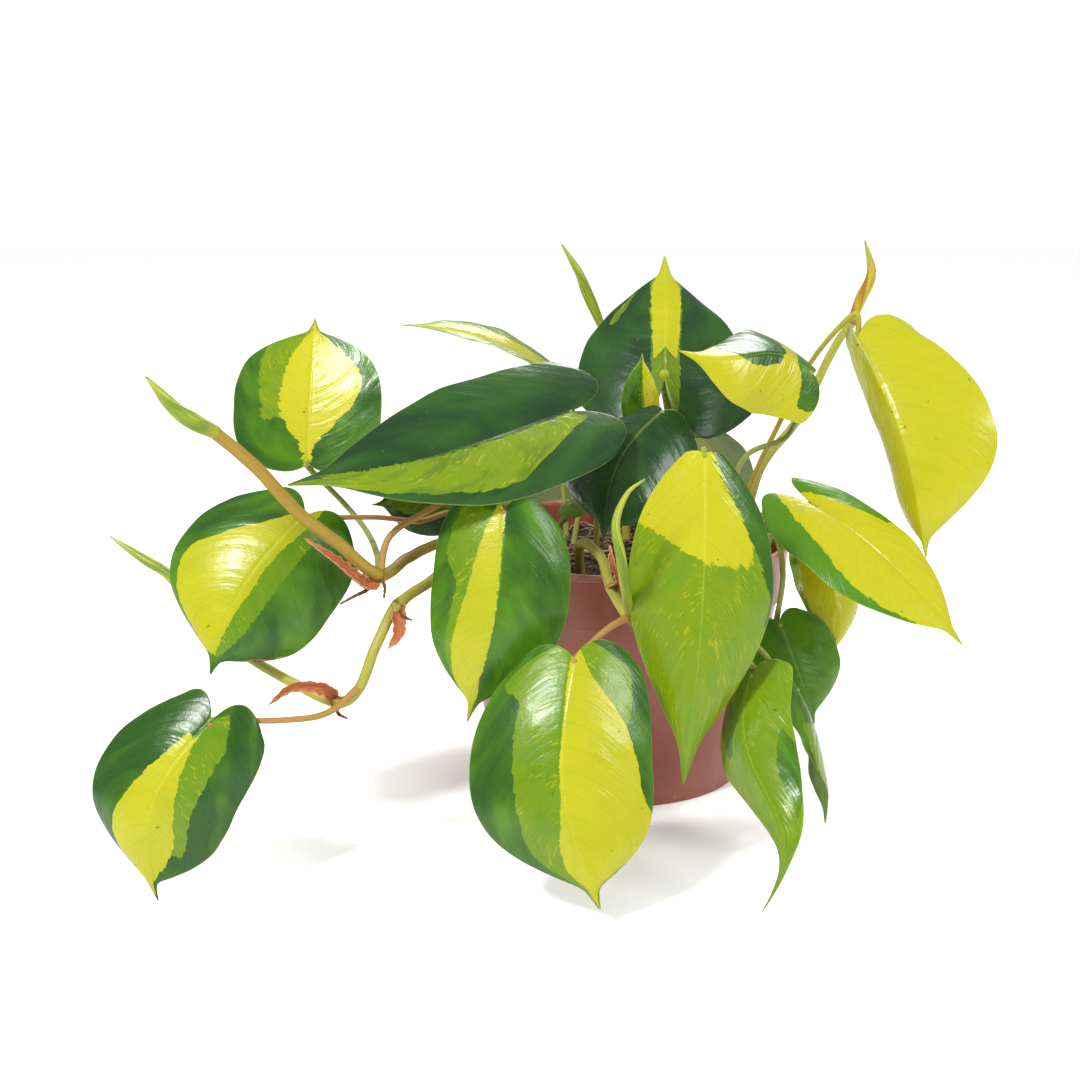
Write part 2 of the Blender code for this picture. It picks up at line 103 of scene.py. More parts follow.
def outward(points, faces):
    """Turns all faces round when the closed surface has a negative volume."""
    tris = np.concatenate([block[:, [0, 1, 2]] for block in faces]
                          + [block[:, [0, 2, 3]] for block in faces if block.shape[1] == 4])
    corners = points[tris]
    volume = np.einsum("ij,ij->i", corners[:, 0], np.cross(corners[:, 1], corners[:, 2])).sum()
    return faces if volume > 0 else [block[:, ::-1] for block in faces]


def grid_faces(rows, columns, start=0, wrap=False):
    """Quads of a grid of rows x columns points, numbered row by row from start."""
    index = np.arange(rows * columns).reshape(rows, columns) + start
    if wrap:
        index = np.concatenate([index, index[:, :1]], axis=1)
    a, b, c, d = index[:-1, :-1], index[:-1, 1:], index[1:, 1:], index[1:, :-1]
    return np.stack([a, b, c, d], axis=-1).reshape(-1, 4)


def tube_faces(rows, around):
    """Faces of a closed tube: a grid that wraps round, and a fan at each end.

    The two poles are numbered after the grid, first the one beside row 0."""
    ring = np.arange(around)
    following = np.roll(ring, -1)
    pole = np.full(around, rows * around)
    last = (rows - 1) * around
    fans = [
        np.stack([pole, following, ring], axis=1),
        np.stack([pole + 1, last + ring, last + following], axis=1),
    ]
    return [grid_faces(rows, around, wrap=True), np.concatenate(fans)]


def shell(above, below):
    """Points and faces of a closed skin: two grids of the same shape, joined all round their rim."""
    rows, columns = above.shape[:2]
    count = rows * columns
    index = np.arange(count).reshape(rows, columns)
    border = np.concatenate([index[0, :], index[1:, -1], index[-1, -2::-1], index[-2:0:-1, 0]])
    following = np.roll(border, -1)
    rim = np.stack([border, border + count, following + count, following], axis=1)
    points = np.concatenate([above.reshape(-1, 3), below.reshape(-1, 3)])
    upper, lower = grid_faces(rows, columns), grid_faces(rows, columns, count)[:, ::-1]
    return points, [np.concatenate([upper, lower, rim])]


def unit(vector):
    vector = np.asarray(vector, float)
    return vector / np.linalg.norm(vector, axis=-1, keepdims=True)


def turns(around):
    """The angles of even steps round a ring."""
    return 2 * math.pi * np.arange(around) / around


def hump(distance, width):
    """A bell curve: 1 where the distance is 0, and e to the -1 at one width."""
    return np.exp(-((distance / width) ** 2))


def curve_through(knots, values, where):
    """Cubic curve through knots that never overshoots: tangents are limited as in a monotone spline."""
    knots, values = np.asarray(knots, float), np.asarray(values, float)
    step = np.diff(knots)
    rise = np.diff(values) / step
    tangent = np.concatenate([rise[:1], (rise[:-1] + rise[1:]) / 2, rise[-1:]])
    turning = rise[:-1] * rise[1:] <= 0
    tangent[1:-1][turning] = 0.0
    limit = 3 * np.minimum(np.abs(rise[:-1]), np.abs(rise[1:]))
    tangent[1:-1] = np.clip(tangent[1:-1], -limit, limit)
    where = np.clip(where, knots[0], knots[-1])
    span = np.clip(np.searchsorted(knots, where, side="right") - 1, 0, len(step) - 1)
    t = (where - knots[span]) / step[span]
    h = step[span]
    return (
        values[span] * (2 * t**3 - 3 * t**2 + 1) + tangent[span] * h * (t**3 - 2 * t**2 + t)
        + values[span + 1] * (3 * t**2 - 2 * t**3) + tangent[span + 1] * h * (t**3 - t**2)
    )


# ---------------------------------------------------------------- paths and tubes

CAP_SIZES = np.array([0.35, 0.75, 0.94])


def smooth_path(points, per_span):
    """A Catmull-Rom curve through the points, with per_span samples in each span."""
    points = np.asarray(points, float)
    ends = np.concatenate([[2 * points[0] - points[1]], points, [2 * points[-1] - points[-2]]])
    t = (np.arange(per_span) / per_span)[None, :, None]
    before, start, stop, after = (ends[k:len(ends) - 3 + k, None, :] for k in range(4))
    curve = start + ((stop - before) * t + (2 * before - 5 * start + 4 * stop - after) * t**2
                     + (3 * start - before - 3 * stop + after) * t**3) / 2
    return np.concatenate([curve.reshape(-1, 3), points[-1:]])


def even_path(points, count):
    """The same curve with its samples at even distances, and how far along each sample lies."""
    fine = smooth_path(points, 24)
    reach = np.concatenate([[0.0], np.cumsum(np.linalg.norm(np.diff(fine, axis=0), axis=1))])
    along = np.linspace(0.0, reach[-1], count)
    return np.stack([np.interp(along, reach, fine[:, axis]) for axis in range(3)], axis=1), along


def path_frames(path, hint=(0.0, 0.0, 1.0)):
    """Side and up vectors along a path, carried forward with as little turning as possible."""
    ahead = unit(np.gradient(path, axis=0))
    up = np.asarray(hint, float)
    sides, ups = [], []
    for direction in ahead:
        up = up - direction * up.dot(direction)
        if np.linalg.norm(up) < 1e-6:
            up = np.cross(direction, (1.0, 0.0, 0.0))
        up = up / np.linalg.norm(up)
        ups.append(up)
        sides.append(np.cross(direction, up))
    return ahead, np.array(sides), np.array(ups)


def swept(path, radius):
    """Rings of points: centre + radius(u, v) * (side cos v + up sin v), rounded off at both ends.

    radius is an array of one row for each path point and one column for each step around."""
    ahead, sides, ups = path_frames(path)
    angle = turns(radius.shape[1])
    turn = sides[:, None, :] * np.cos(angle)[None, :, None] + ups[:, None, :] * np.sin(angle)[None, :, None]
    spokes = radius[:, :, None] * turn
    mean = radius.mean(axis=1)[:, None]
    sizes = CAP_SIZES[:, None, None]
    sink = np.sqrt(1 - sizes**2)
    first = path[0] + spokes[0] * sizes - ahead[0] * mean[0] * sink
    last = path[-1] + (spokes[-1] * sizes + ahead[-1] * mean[-1] * sink)[::-1]
    rings = np.concatenate([first, path[:, None, :] + spokes, last])
    poles = [path[0] - ahead[0] * mean[0], path[-1] + ahead[-1] * mean[-1]]
    return np.concatenate([rings.reshape(-1, 3), poles]), tube_faces(*rings.shape[:2])


def on_tube(values, poles=None):
    """A field given for every point of every ring, carried on over the rounded ends and the two poles."""
    caps = len(CAP_SIZES)
    padded = np.concatenate([np.repeat(values[:1], caps, 0), values, np.repeat(values[-1:], caps, 0)])
    return np.concatenate([padded.ravel(), values[[0, -1], 0] if poles is None else poles])


def make_tube(name, path, along, radius, material, slot, nodes=(), **fields):
    """A swept piece with what its finish reads: share of its length, run in millimetres, and its turn."""
    flat = np.ones_like(radius)
    angle = turns(radius.shape[1])
    fields["share"] = on_tube(flat * (along / along[-1])[:, None])
    fields["run"] = on_tube(flat * (along / MM)[:, None])
    fields["ring_x"] = on_tube(flat * np.cos(angle), (0.0, 0.0))
    fields["ring_y"] = on_tube(flat * np.sin(angle), (0.0, 0.0))
    points, faces = swept(path, radius)
    piece(name, points, faces, material, nodes, fields)


# ---------------------------------------------------------------- material helpers


class Wire:
    """A value that a node gives out. Adding to it, subtracting or multiplying makes Math nodes."""

    def __init__(self, tree, socket):
        self.tree = tree
        self.socket = socket

    def __add__(self, other):
        return maths("ADD", self, other)

    def __sub__(self, other):
        return maths("SUBTRACT", self, other)

    def __rsub__(self, other):
        return maths("SUBTRACT", other, self)

    def __mul__(self, other):
        return maths("MULTIPLY", self, other)

    def clamped(self):
        """Keeps the last sum or product between 0 and 1."""
        self.socket.node.use_clamp = True
        return self


def feed(socket, value):
    """Links a wire into a socket, or writes a number or colour on it."""
    if isinstance(value, Wire):
        value.tree.links.new(value.socket, socket)
    else:
        socket.default_value = (*value, 1.0) if socket.type == "RGBA" else value


def new_node(tree, kind, **settings):
    node = tree.nodes.new(kind)
    for key, value in settings.items():
        setattr(node, key, value)
    return node


def wired(kind, inputs, output, **settings):
    """A node in the tree of whatever feeds it. Inputs are names or numbers of sockets, and their values."""
    tree = next(value.tree for value in inputs.values() if isinstance(value, Wire))
    node = new_node(tree, kind, **settings)
    for label, value in inputs.items():
        feed(node.inputs[label], value)
    return Wire(tree, node.outputs[output])


def maths(operation, *values):
    return wired("ShaderNodeMath", dict(enumerate(values)), 0, operation=operation)


def blend(share, first, second):
    """first where share is 0, second where it is 1."""
    inputs = {"Factor": share, "A": first, "B": second}
    return wired("ShaderNodeMix", inputs, "Result", data_type="RGBA", blend_type="MIX")


def ramp(value, low, high, to_low=0.0, to_high=1.0, shape="SMOOTHSTEP"):
    """to_low below low, to_high above high, and a smooth passage between them."""
    inputs = dict(enumerate((value, low, high, to_low, to_high)))
    return wired("ShaderNodeMapRange", inputs, 0, interpolation_type=shape)


def vector_of(*values):
    return wired("ShaderNodeCombineXYZ", dict(enumerate(values)), 0)


def noise(vector, scale, detail=2.0, roughness=0.5, distortion=0.0):
    inputs = {"Vector": vector, "Scale": scale, "Detail": detail, "Roughness": roughness}
    inputs["Distortion"] = distortion
    return wired("ShaderNodeTexNoise", inputs, "Fac")


def fields_of(tree, *names):
    """What the mesh says at each point under these names."""
    readers = [new_node(tree, "ShaderNodeAttribute", attribute_name=name) for name in names]
    return [Wire(tree, reader.outputs["Fac"]) for reader in readers]


def place_of(tree):
    return Wire(tree, new_node(tree, "ShaderNodeTexCoord").outputs["Object"])


def new_group(name, colours, numbers):
    """A node group with these inputs. Returns its tree and its inputs as wires, in order."""
    tree = bpy.data.node_groups.new(name, "ShaderNodeTree")
    for label in colours:
        tree.interface.new_socket(label, in_out="INPUT", socket_type="NodeSocketColor")
    for label in numbers:
        tree.interface.new_socket(label, in_out="INPUT", socket_type="NodeSocketFloat")
    tree.interface.new_socket("Color", in_out="OUTPUT", socket_type="NodeSocketColor")
    tree.interface.new_socket("Roughness", in_out="OUTPUT", socket_type="NodeSocketFloat")
    tree.interface.new_socket("Height", in_out="OUTPUT", socket_type="NodeSocketFloat")
    given = tree.nodes.new("NodeGroupInput").outputs
    return tree, [Wire(tree, given[label]) for label in (*colours, *numbers)]


def give_out(tree, colour, roughness, height):
    """Closes a node group: these are its outputs."""
    out = tree.nodes.new("NodeGroupOutput").inputs
    feed(out["Color"], colour)
    feed(out["Roughness"], roughness)
    feed(out["Height"], height)
    return tree


def new_material(name, roughness, specular=0.3, scatter=0.0, coat=0.0, coat_roughness=0.2):
    """A material with its uniform numbers on the shader's own sockets. Returns it, its tree and shader."""
    material = bpy.data.materials.new(name)
    material.use_nodes = True
    shader = material.node_tree.nodes["Principled BSDF"]
    shader.inputs["Roughness"].default_value = roughness
    shader.inputs["Coat Weight"].default_value = coat
    shader.inputs["Coat Roughness"].default_value = coat_roughness
    shader.inputs["Specular IOR Level"].default_value = specular
    shader.inputs["Subsurface Weight"].default_value = scatter
    shader.inputs["Subsurface Radius"].default_value = (1.0, 0.8, 0.25)
    shader.inputs["Subsurface Scale"].default_value = 1.0 * MM
    return material, material.node_tree, shader


def finished(material, shader, colour, roughness, height, relief):
    """Feeds a material's shader. relief is the distance in metres that a height of 1 stands for."""
    feed(shader.inputs["Base Color"], colour)
    feed(shader.inputs["Roughness"], roughness)
    raised = wired("ShaderNodeBump", {"Strength": 1.0, "Distance": relief, "Height": height}, "Normal")
    feed(shader.inputs["Normal"], raised)
    return material


def skinned(name, group, gloss, relief, scatter, colours, numbers):
    """A material whose colour, roughness and relief come from a node group placed with its own values."""
    material, tree, shader = new_material(name, gloss, scatter=scatter)
    skin = new_node(tree, "ShaderNodeGroup", node_tree=group)
    for socket, value in zip(skin.inputs, (*colours, *numbers)):
        feed(socket, value)
    made = [Wire(tree, skin.outputs[label]) for label in ("Color", "Roughness", "Height")]
    return finished(material, shader, *made, relief)


# ---------------------------------------------------------------- leaf finishes

LEAF_LIME = (0.124, 0.192, 0.002)
LEAF_YELLOW = (0.345, 0.325, 0.006)
# Slot: material, dark green, light green, lime, yellow, gloss
BLADE_FINISHES = {
    "dark_leaf": ("dark glossy blade", (0.009, 0.032, 0.010), (0.020, 0.068, 0.009),
                  LEAF_LIME, LEAF_YELLOW, 0.30),
    "green_leaf": ("green blade", (0.014, 0.056, 0.005), (0.054, 0.150, 0.003), LEAF_LIME, LEAF_YELLOW, 0.32),
    "lime_leaf": ("lime blade", (0.022, 0.075, 0.005), (0.065, 0.165, 0.004), LEAF_LIME, LEAF_YELLOW, 0.27),
    "yellow_leaf": ("yellow blade", (0.014, 0.056, 0.005), (0.054, 0.150, 0.003),
                    (0.160, 0.220, 0.003), (0.345, 0.320, 0.005), 0.30),
}


def leaf_group():
    """Colour, roughness and relief of a variegated blade, from the fields that its mesh carries.

    A colour patch covers a point where its signed distance in millimetres, plus a noise drawn out along
    the side veins, is above zero, so its border is torn into teeth that follow the veins. Over the
    patches come the veins, the pale rib and margin, the dull underside, dry scars and specks."""
    tree, given = new_group("variegated blade", ("Dark", "Green", "Lime", "Yellow"), ("Gloss",))
    dark, light, lime_tone, yellow, gloss = given
    vein, side, seed = fields_of(tree, "vein", "side", "seed")
    under, rib, edge, ripe = fields_of(tree, "under", "rib", "edge", "ripe")
    shade, dry = fields_of(tree, "shade", "scar")
    lime_patch, yellow_patch, green_patch = fields_of(tree, "lime", "yellow", "over")
    spot = place_of(tree)

    def grain(across, along, detail, roughness, distortion=0.0):
        """Noise drawn out along the side veins."""
        return noise(vector_of(vein * across, side * along, seed), 1.0, detail, roughness, distortion)

    teeth = grain(34.0, 2.6, 3.0, 0.62)
    crumbs = noise(spot, 900.0, 2.0, 0.6)
    tear = teeth * 4.0 + crumbs - 2.5

    def patch(reach, raggedness):
        return ramp(tear * raggedness + reach, -0.14, 0.14)

    sectors = grain(5.0, 1.6, 2.0, 0.55, 0.3)
    green = blend(ramp(sectors * 1.5 + shade - 0.75, 0.15, 0.85), dark, light)
    lime = blend((ripe * -0.7 + 0.62).clamped(), lime_tone, light)
    lime = blend(ramp(grain(11.0, 2.2, 3.0, 0.6), 0.45, 0.60), lime, blend(0.4, lime, light))
    flecks = ramp(grain(90.0, 9.0, 2.0, 0.7), 0.56, 0.64) * ramp(noise(spot, 130.0, 1.0), 0.44, 0.58)
    lime = blend(flecks * 0.8, lime, blend(0.5, lime, yellow))
    unripe = ((1.1 - ripe) * ramp(noise(spot, 60.0), 0.3, 0.7, 0.35, 0.85)).clamped()
    colour = blend(patch(lime_patch, 1.0), green, lime)
    colour = blend(patch(yellow_patch, 0.75), colour, blend(unripe, yellow, blend(0.55, lime_tone, yellow)))
    colour = blend(patch(green_patch, 0.6), colour, green)

    vein_line = ramp(maths("PINGPONG", teeth * 0.02 + vein, 0.045), 0.0, 0.006, 1.0, 0.0)
    threads = ramp(maths("PINGPONG", teeth * 0.01 + vein, 0.008), 0.0, 0.008)
    scar = (crumbs - 0.5) * 1.6 + dry
    specks = ramp(noise(spot, 420.0, 1.0), 0.765, 0.785)
    colour = blend(vein_line * 0.10, colour, light)
    colour = blend(threads * 0.02, colour, (0.01, 0.05, 0.005))
    colour = blend(ramp(rib, 0.15, 0.75, 0.30, 0.0), colour, blend(0.45, colour, (0.55, 0.62, 0.12)))
    colour = blend(under, colour, blend(0.42, colour, (0.26, 0.36, 0.13)))
    colour = blend(ramp(edge, 0.05, 0.35, 0.3, 0.0), colour, (0.26, 0.36, 0.06))
    colour = blend(ramp(scar, -0.6, 0.3), colour, (0.42, 0.22, 0.04))
    colour = blend(ramp(scar, 0.0, 0.5), colour, (0.055, 0.02, 0.008))
    colour = blend(specks * 0.7, colour, (0.09, 0.05, 0.015))

    film = noise(spot, 45.0, 3.0, 0.6)
    rough = (film * 0.24 + gloss - 0.16 + under * 0.22 + ramp(scar, -0.4, 0.2) * 0.3).clamped()
    fine = noise(spot, 1100.0, 1.0) * 0.16 + noise(spot, 120.0)
    height = vein_line * -0.07 + threads * 0.02 + fine + grain(17.0, 1.6, 2.0, 0.5) * 1.25
    return give_out(tree, colour, rough, height)


def leaf_materials():
    group = leaf_group()
    return {
        slot: skinned(name, group, gloss, 0.25 * MM, 0.08, colours, [gloss])
        for slot, (name, *colours, gloss) in BLADE_FINISHES.items()
    }


# ---------------------------------------------------------------- leaves

OUTLINE_ALONG = (0.0, 0.03, 0.10, 0.22, 0.40, 0.55, 0.68, 0.78, 0.85, 0.90, 0.95, 1.0)
OUTLINE_ROUND = (0.64, 0.79, 0.92, 1.01, 1.03, 0.98, 0.84, 0.60, 0.33, 0.11, 0.045, 0.012)
OUTLINE_LONG = (0.80, 0.88, 0.955, 1.0, 0.985, 0.84, 0.61, 0.38, 0.20, 0.11, 0.06, 0.012)
LOBE_RISE_POWER = 0.75
LOBE_RISE_SPAN = 0.85
LOBE_FADE_POWER = 3
CURL_START = 0.75
SHOULDER_FADE_POWER = 6
BLADE_STEPS = 88
HALF_STEPS = 32
BLADE_THICKNESS = 0.0005
GROOVE_DEPTH = 0.30 * MM
GROOVE_WIDTH = 0.55 * MM
QUILT_HEIGHT = 0.022 * MM
QUILT_PITCH = 0.12
RIB_SIZE = 0.75 * MM
FURTHEST = 9.0
PETIOLE_RADIUS = 0.0011
PETIOLE_STEPS, PETIOLE_AROUND = 90, 18
NO_JOINT = 99.0
EVERYWHERE = ((0, -2, 2), (1, -2, 2))


def leaf(name, base, tip, face, width, root, route, colour="green_leaf", stalk="green_stem", **bends):
    """One leaf: its blade from base to tip, the way it faces, its petiole's root and route, and its bends."""
    plain = dict(arch=0.08, fold=-8.0, cup=-14.0, twist=0.0, lobe=0.12, curl=0.0, sway=0.0, bow=0.0,
                 approach=0.55, wave=0.6, shade=0.5, taper=0.0, belly=1.0, ripe=0.5, shoulder=0.0,
                 thick=1.0, lean=0.0, tint="stalk_" + stalk, finish=colour)
    return dict(plain, name=name, base=base, tip=tip, face=face, width=width, root=root, route=route,
                colour=colour, stalk=stalk, **bends)


def blade_frame(item):
    """The base, the length and the three axes of a blade: across it, along it and out of its face."""
    base, tip = np.array(item["base"]) * MM, np.array(item["tip"]) * MM
    length = np.linalg.norm(tip - base)
    along = (tip - base) / length
    face = np.array(item["face"], float)
    out = unit(face - along * face.dot(along))
    return base, length, np.cross(along, out), along, out


def half_width_of(item, s):
    """Half the breadth of a blade at s, in metres: its greatest half breadth times the outline.

    The outline lies between a round and a long one by taper. belly moves its widest part toward the tip
    above 1, and shoulder narrows it at the petiole."""
    outline = item["taper"] * np.array(OUTLINE_LONG) + (1 - item["taper"]) * np.array(OUTLINE_ROUND)
    shoulder = 1 - item["shoulder"] * (1 - s) ** SHOULDER_FADE_POWER
    return item["width"] * MM / 2 * curve_through(OUTLINE_ALONG, outline, s ** item["belly"]) * shoulder


def ripple_of(item, s, t):
    """How far the margin ripples out of the blade: two sines along it that grow with |t| to the edge."""
    phase = item["seed"] * 2.4
    long_wave = np.sin(2 * math.pi * (2.3 * s + phase) + np.sign(t) * 1.3)
    short_wave = 0.5 * np.sin(2 * math.pi * (4.9 * s + 2 * phase))
    fade = np.sin(math.pi * np.clip(s * 0.9 + 0.1, 0, 1))
    return item["wave"] * MM * 0.6 * (long_wave + short_wave) * np.abs(t) ** 2.5 * fade


def blade_points(item, s, t):
    """The middle surface of a blade: s runs from the petiole to the tip and t from edge to edge.

    Across, each half turns down by fold plus cup times |t| about the midrib, the whole turns by twist
    times s squared, and lean makes one half wider and the other narrower. Along, the midrib is an arc of
    height arch, the lobes run back from the petiole by lobe, and bow, sway and curl swing it sideways."""
    base, length, across, along, out = blade_frame(item)
    side = np.abs(t) * half_width_of(item, s) * (1 + item["lean"] * np.sign(t))
    rise = np.sin(math.pi * LOBE_RISE_SPAN * np.abs(t) ** LOBE_RISE_POWER)
    back = item["lobe"] * length * rise * (1 - s) ** LOBE_FADE_POWER
    slope = np.arctan(4 * item["arch"] * (1 - 2 * s))
    bend = np.radians(item["fold"] + item["cup"] * np.abs(t))
    turn = np.radians(item["twist"]) * s**2
    local_x = np.sign(t) * side * np.cos(bend)
    local_z = side * np.sin(bend) + ripple_of(item, s, t)
    x = local_x * np.cos(turn) - local_z * np.sin(turn)
    z = local_x * np.sin(turn) + local_z * np.cos(turn)
    tip_part = np.clip((s - CURL_START) / (1 - CURL_START), 0.0, 1.0)
    swing = item["bow"] * np.sin(math.pi * s) + item["sway"] * np.sin(2 * math.pi * s)
    x = x + length * (swing + item["curl"] * tip_part**2)
    y = length * s - back * np.cos(slope) - z * np.sin(slope)
    z = 4 * length * item["arch"] * s * (1 - s) - back * np.sin(slope) + z * np.cos(slope)
    return base + x[..., None] * across + y[..., None] * along + z[..., None] * out


def crowded(count, pull):
    """Numbers from 0 to 1 that lie closer together at both ends."""
    even = np.linspace(0.0, 1.0, count + 1)
    return even - pull / (2 * math.pi) * np.sin(2 * math.pi * even)


def vein_of(s, t):
    """Which side vein a point lies on: veins leave the midrib and sweep toward the tip."""
    return s - 0.36 * np.abs(t) ** 1.25 * (0.55 + 0.45 * s)


def patch_reach(item, bands, s, t):
    """Signed distance in millimetres into the nearest of some bands, each with a left and right border."""
    reach = np.full(s.shape, -FURTHEST)
    half = half_width_of(item, s) / MM
    length = blade_frame(item)[1]
    for band in bands:
        knots = np.array(band, float)
        left = curve_through(knots[:, 0], knots[:, 1], s)
        right = curve_through(knots[:, 0], knots[:, 2], s)
        inside = np.minimum(t - left, right - t) * half
        if knots[0, 0] > 0.0:
            inside = np.minimum(inside, (s - knots[0, 0]) * length / MM)
        if knots[-1, 0] < 1.0:
            inside = np.minimum(inside, (knots[-1, 0] - s) * length / MM)
        reach = np.maximum(reach, inside)
    return np.clip(reach, -FURTHEST, FURTHEST)


def scar_reach(item, scars, s, t):
    """Signed distance in millimetres into the nearest of some round scars: (s, t, radius)."""
    reach = np.full(s.shape, -FURTHEST)
    half = half_width_of(item, s) / MM
    length = blade_frame(item)[1]
    for place_s, place_t, radius in scars:
        far = np.hypot((s - place_s) * length / MM, (t - place_t) * half)
        reach = np.maximum(reach, radius - far)
    return np.clip(reach, -FURTHEST, FURTHEST)


def make_blade(item, pattern, materials):
    """A thin closed shell: the middle surface shifted by half its thickness to each side, and joined
    round the rim. The top sinks along the midrib and side veins, and the underside carries the rib."""
    half = crowded(HALF_STEPS, 0.75)
    t_line = np.concatenate([-half[:0:-1], half])
    s_line = crowded(BLADE_STEPS, 0.6)
    s, t = np.meshgrid(s_line, t_line, indexing="ij")
    middle = blade_points(item, s, t)
    normal = np.cross(np.gradient(middle, t_line, axis=1), np.gradient(middle, s_line, axis=0))
    normal /= np.maximum(np.linalg.norm(normal, axis=-1, keepdims=True), 1e-12)
    if np.einsum("ijk,k->", normal, blade_frame(item)[4]) < 0:
        normal = -normal
    reach = np.abs(t) * half_width_of(item, s)
    thin = BLADE_THICKNESS / 2 * (1 - 0.55 * np.abs(t) ** 6) * (1 - 0.4 * s**4)
    vein = vein_of(s, t)
    groove = GROOVE_DEPTH * hump(reach, GROOVE_WIDTH) * (1 - s) ** 0.5
    quilt = QUILT_HEIGHT * np.cos(2 * math.pi * vein / QUILT_PITCH + item["seed"])
    quilt = quilt * (1 - np.abs(t) ** 4) * np.minimum(reach / (3 * MM), 1)
    rib = RIB_SIZE * (1 - s) ** 0.8 * hump(reach, RIB_SIZE * (1 - 0.6 * s))
    points, faces = shell(middle + normal * (thin - groove + quilt)[..., None],
                          middle - normal * (thin + rib - quilt)[..., None])
    spread = pattern.get("spread", 1.0)
    fields = {
        "side": t,
        "vein": vein,
        "seed": np.full(s.shape, item["seed"] * 10.0),
        "shade": np.full(s.shape, item["shade"]),
        "ripe": np.full(s.shape, item["ripe"]),
        "rib": reach / MM + s * 0.6,
        "edge": np.minimum((1 - np.abs(t)) * half_width_of(item, s), s * blade_frame(item)[1]) / MM,
        "scar": scar_reach(item, pattern.get("scars", ()), s, t),
    }
    for patch in ("yellow", "lime", "over"):
        fields[patch] = patch_reach(item, pattern.get(patch, ()), s, t) * spread
    fields = {label: np.tile(value.ravel(), 2) for label, value in fields.items()}
    fields["under"] = np.repeat([0.0, 1.0], s.size)
    name = item["name"]
    piece("blade_" + name, points, faces, materials[item["finish"]], ["leaf_" + name], fields)


def off_stem(stem, index, toward):
    """Where a side shoot leaves the middle of the stem at one of its points: its flat end is inside."""
    points = np.array(stem["route"], float) * MM
    centre = points[index]
    along = unit(points[min(index + 1, len(points) - 1)] - points[index - 1])
    leaving = unit(toward - centre)
    out = unit(leaving - along * leaving.dot(along))
    return centre + out * max(stem["radii"]) * 0.3


def start_of(root, toward, stems):
    """A shoot from the soil starts a little under its surface, and one from a vine starts inside the vine."""
    if root[0] == "soil":
        foot = np.array((root[1] * MM, root[2] * MM, SOIL_TOP))
        return foot - unit(toward - foot) * 3 * MM
    return off_stem(stems[root[0]], root[1], toward)


def petiole_route(item, stems):
    """From the root through the route, bending in under the blade at the notch of the heart."""
    base, _, _, along, out = blade_frame(item)
    slope = math.atan(4 * item["arch"])
    ahead = along * math.cos(slope) + out * math.sin(slope)
    normal = out * math.cos(slope) - along * math.sin(slope)
    arriving = unit(ahead * item["approach"] + normal)
    seat = base + ahead * PETIOLE_RADIUS * 0.32 - normal * 0.35 * MM
    route = [np.array(point, float) * MM for point in item["route"]]
    route += [seat - arriving * 4 * MM, seat]
    return np.array([start_of(item["root"], route[0], stems), *route])


def make_petiole(item, stems, materials):
    """A slender stalk: a channelled tube that swells where it leaves the stem and just before the blade."""
    path, along = even_path(petiole_route(item, stems), PETIOLE_STEPS)
    share, run = along / along[-1], along / MM
    radius = PETIOLE_RADIUS * item["thick"] * (1.0 - 0.22 * share)
    radius = radius * (1 + 0.35 * np.exp(-run / 3.0) + 0.16 * hump(run[-1] - run - 5, 3.5))
    radius = radius * (1 + 0.02 * np.sin(run * 0.9 + item["seed"]))
    channel = 1 - 0.16 * hump(np.sin((turns(PETIOLE_AROUND) - math.pi / 2) / 2), 0.28)
    radius = radius[:, None] * channel[None, :]
    clear_of_joints = on_tube(np.full(radius.shape, NO_JOINT))
    make_tube("stalk_" + item["name"], path, along, radius, materials[item["tint"]], item["stalk"],
              ["petiole_" + item["name"]], ring=clear_of_joints)


# ---------------------------------------------------------------- vines, rolled leaves, dried sheaths

VINE_STEPS, VINE_AROUND = 150, 24
ROLLED_STEPS, ROLLED_AROUND = 110, 44
AIR_ROOT_STEPS, AIR_ROOT_AROUND = 26, 10
SHEATH_STEPS, SHEATH_COLUMNS = 60, 23
SHEATH_ALONG = (0, 0.12, 0.35, 0.7, 0.92, 1.0)
SHEATH_BREADTH = (0.75, 1.0, 0.95, 0.6, 0.25, 0.06)
SHEATH_THICKNESS = 0.26 * MM


def stem_route(stem, stems):
    """The points of a stem in metres. One that follows on from another starts inside its end."""
    points = np.array(stem["route"], float) * MM
    root = stem["root"]
    if root[-1] == "end":
        before = np.array(stems[root[0]]["route"], float) * MM
        return np.concatenate([[before[-1] - unit(before[-1] - before[-2]) * MM], points])
    return np.concatenate([[start_of(root, points[0], stems)], points])


def radii_along(stem, share):
    radii = stem["radii"]
    return curve_through(np.linspace(0, 1, len(radii)), radii, share)[:, None]


def make_vine(stem, stems, materials):
    """A jointed stem: a tube with a raised ring and a slight swelling at each joint."""
    path, along = even_path(stem_route(stem, stems), VINE_STEPS)
    run = along[:, None] / MM
    joints = [np.argmin(np.linalg.norm(path - np.array(stem["route"][index]) * MM, axis=1))
              for index in stem["joints"]]
    ring = np.min([np.abs(run - run[joint]) for joint in joints], axis=0)
    angle = turns(VINE_AROUND)
    lumps = 1 + 0.03 * np.sin(3 * angle + run * 0.12) + 0.025 * np.sin(run * 0.55 + angle)
    joined = 0.94 + 0.17 * hump(ring, 2.6) + 0.10 * hump(ring, 0.45)
    radius = radii_along(stem, along / along[-1]) * joined * lumps
    make_tube("jointed_" + stem["name"], path, along, radius, materials["vine_" + stem["colour"]],
              stem["colour"], [stem["name"]], ring=on_tube(ring * np.ones_like(radius)))


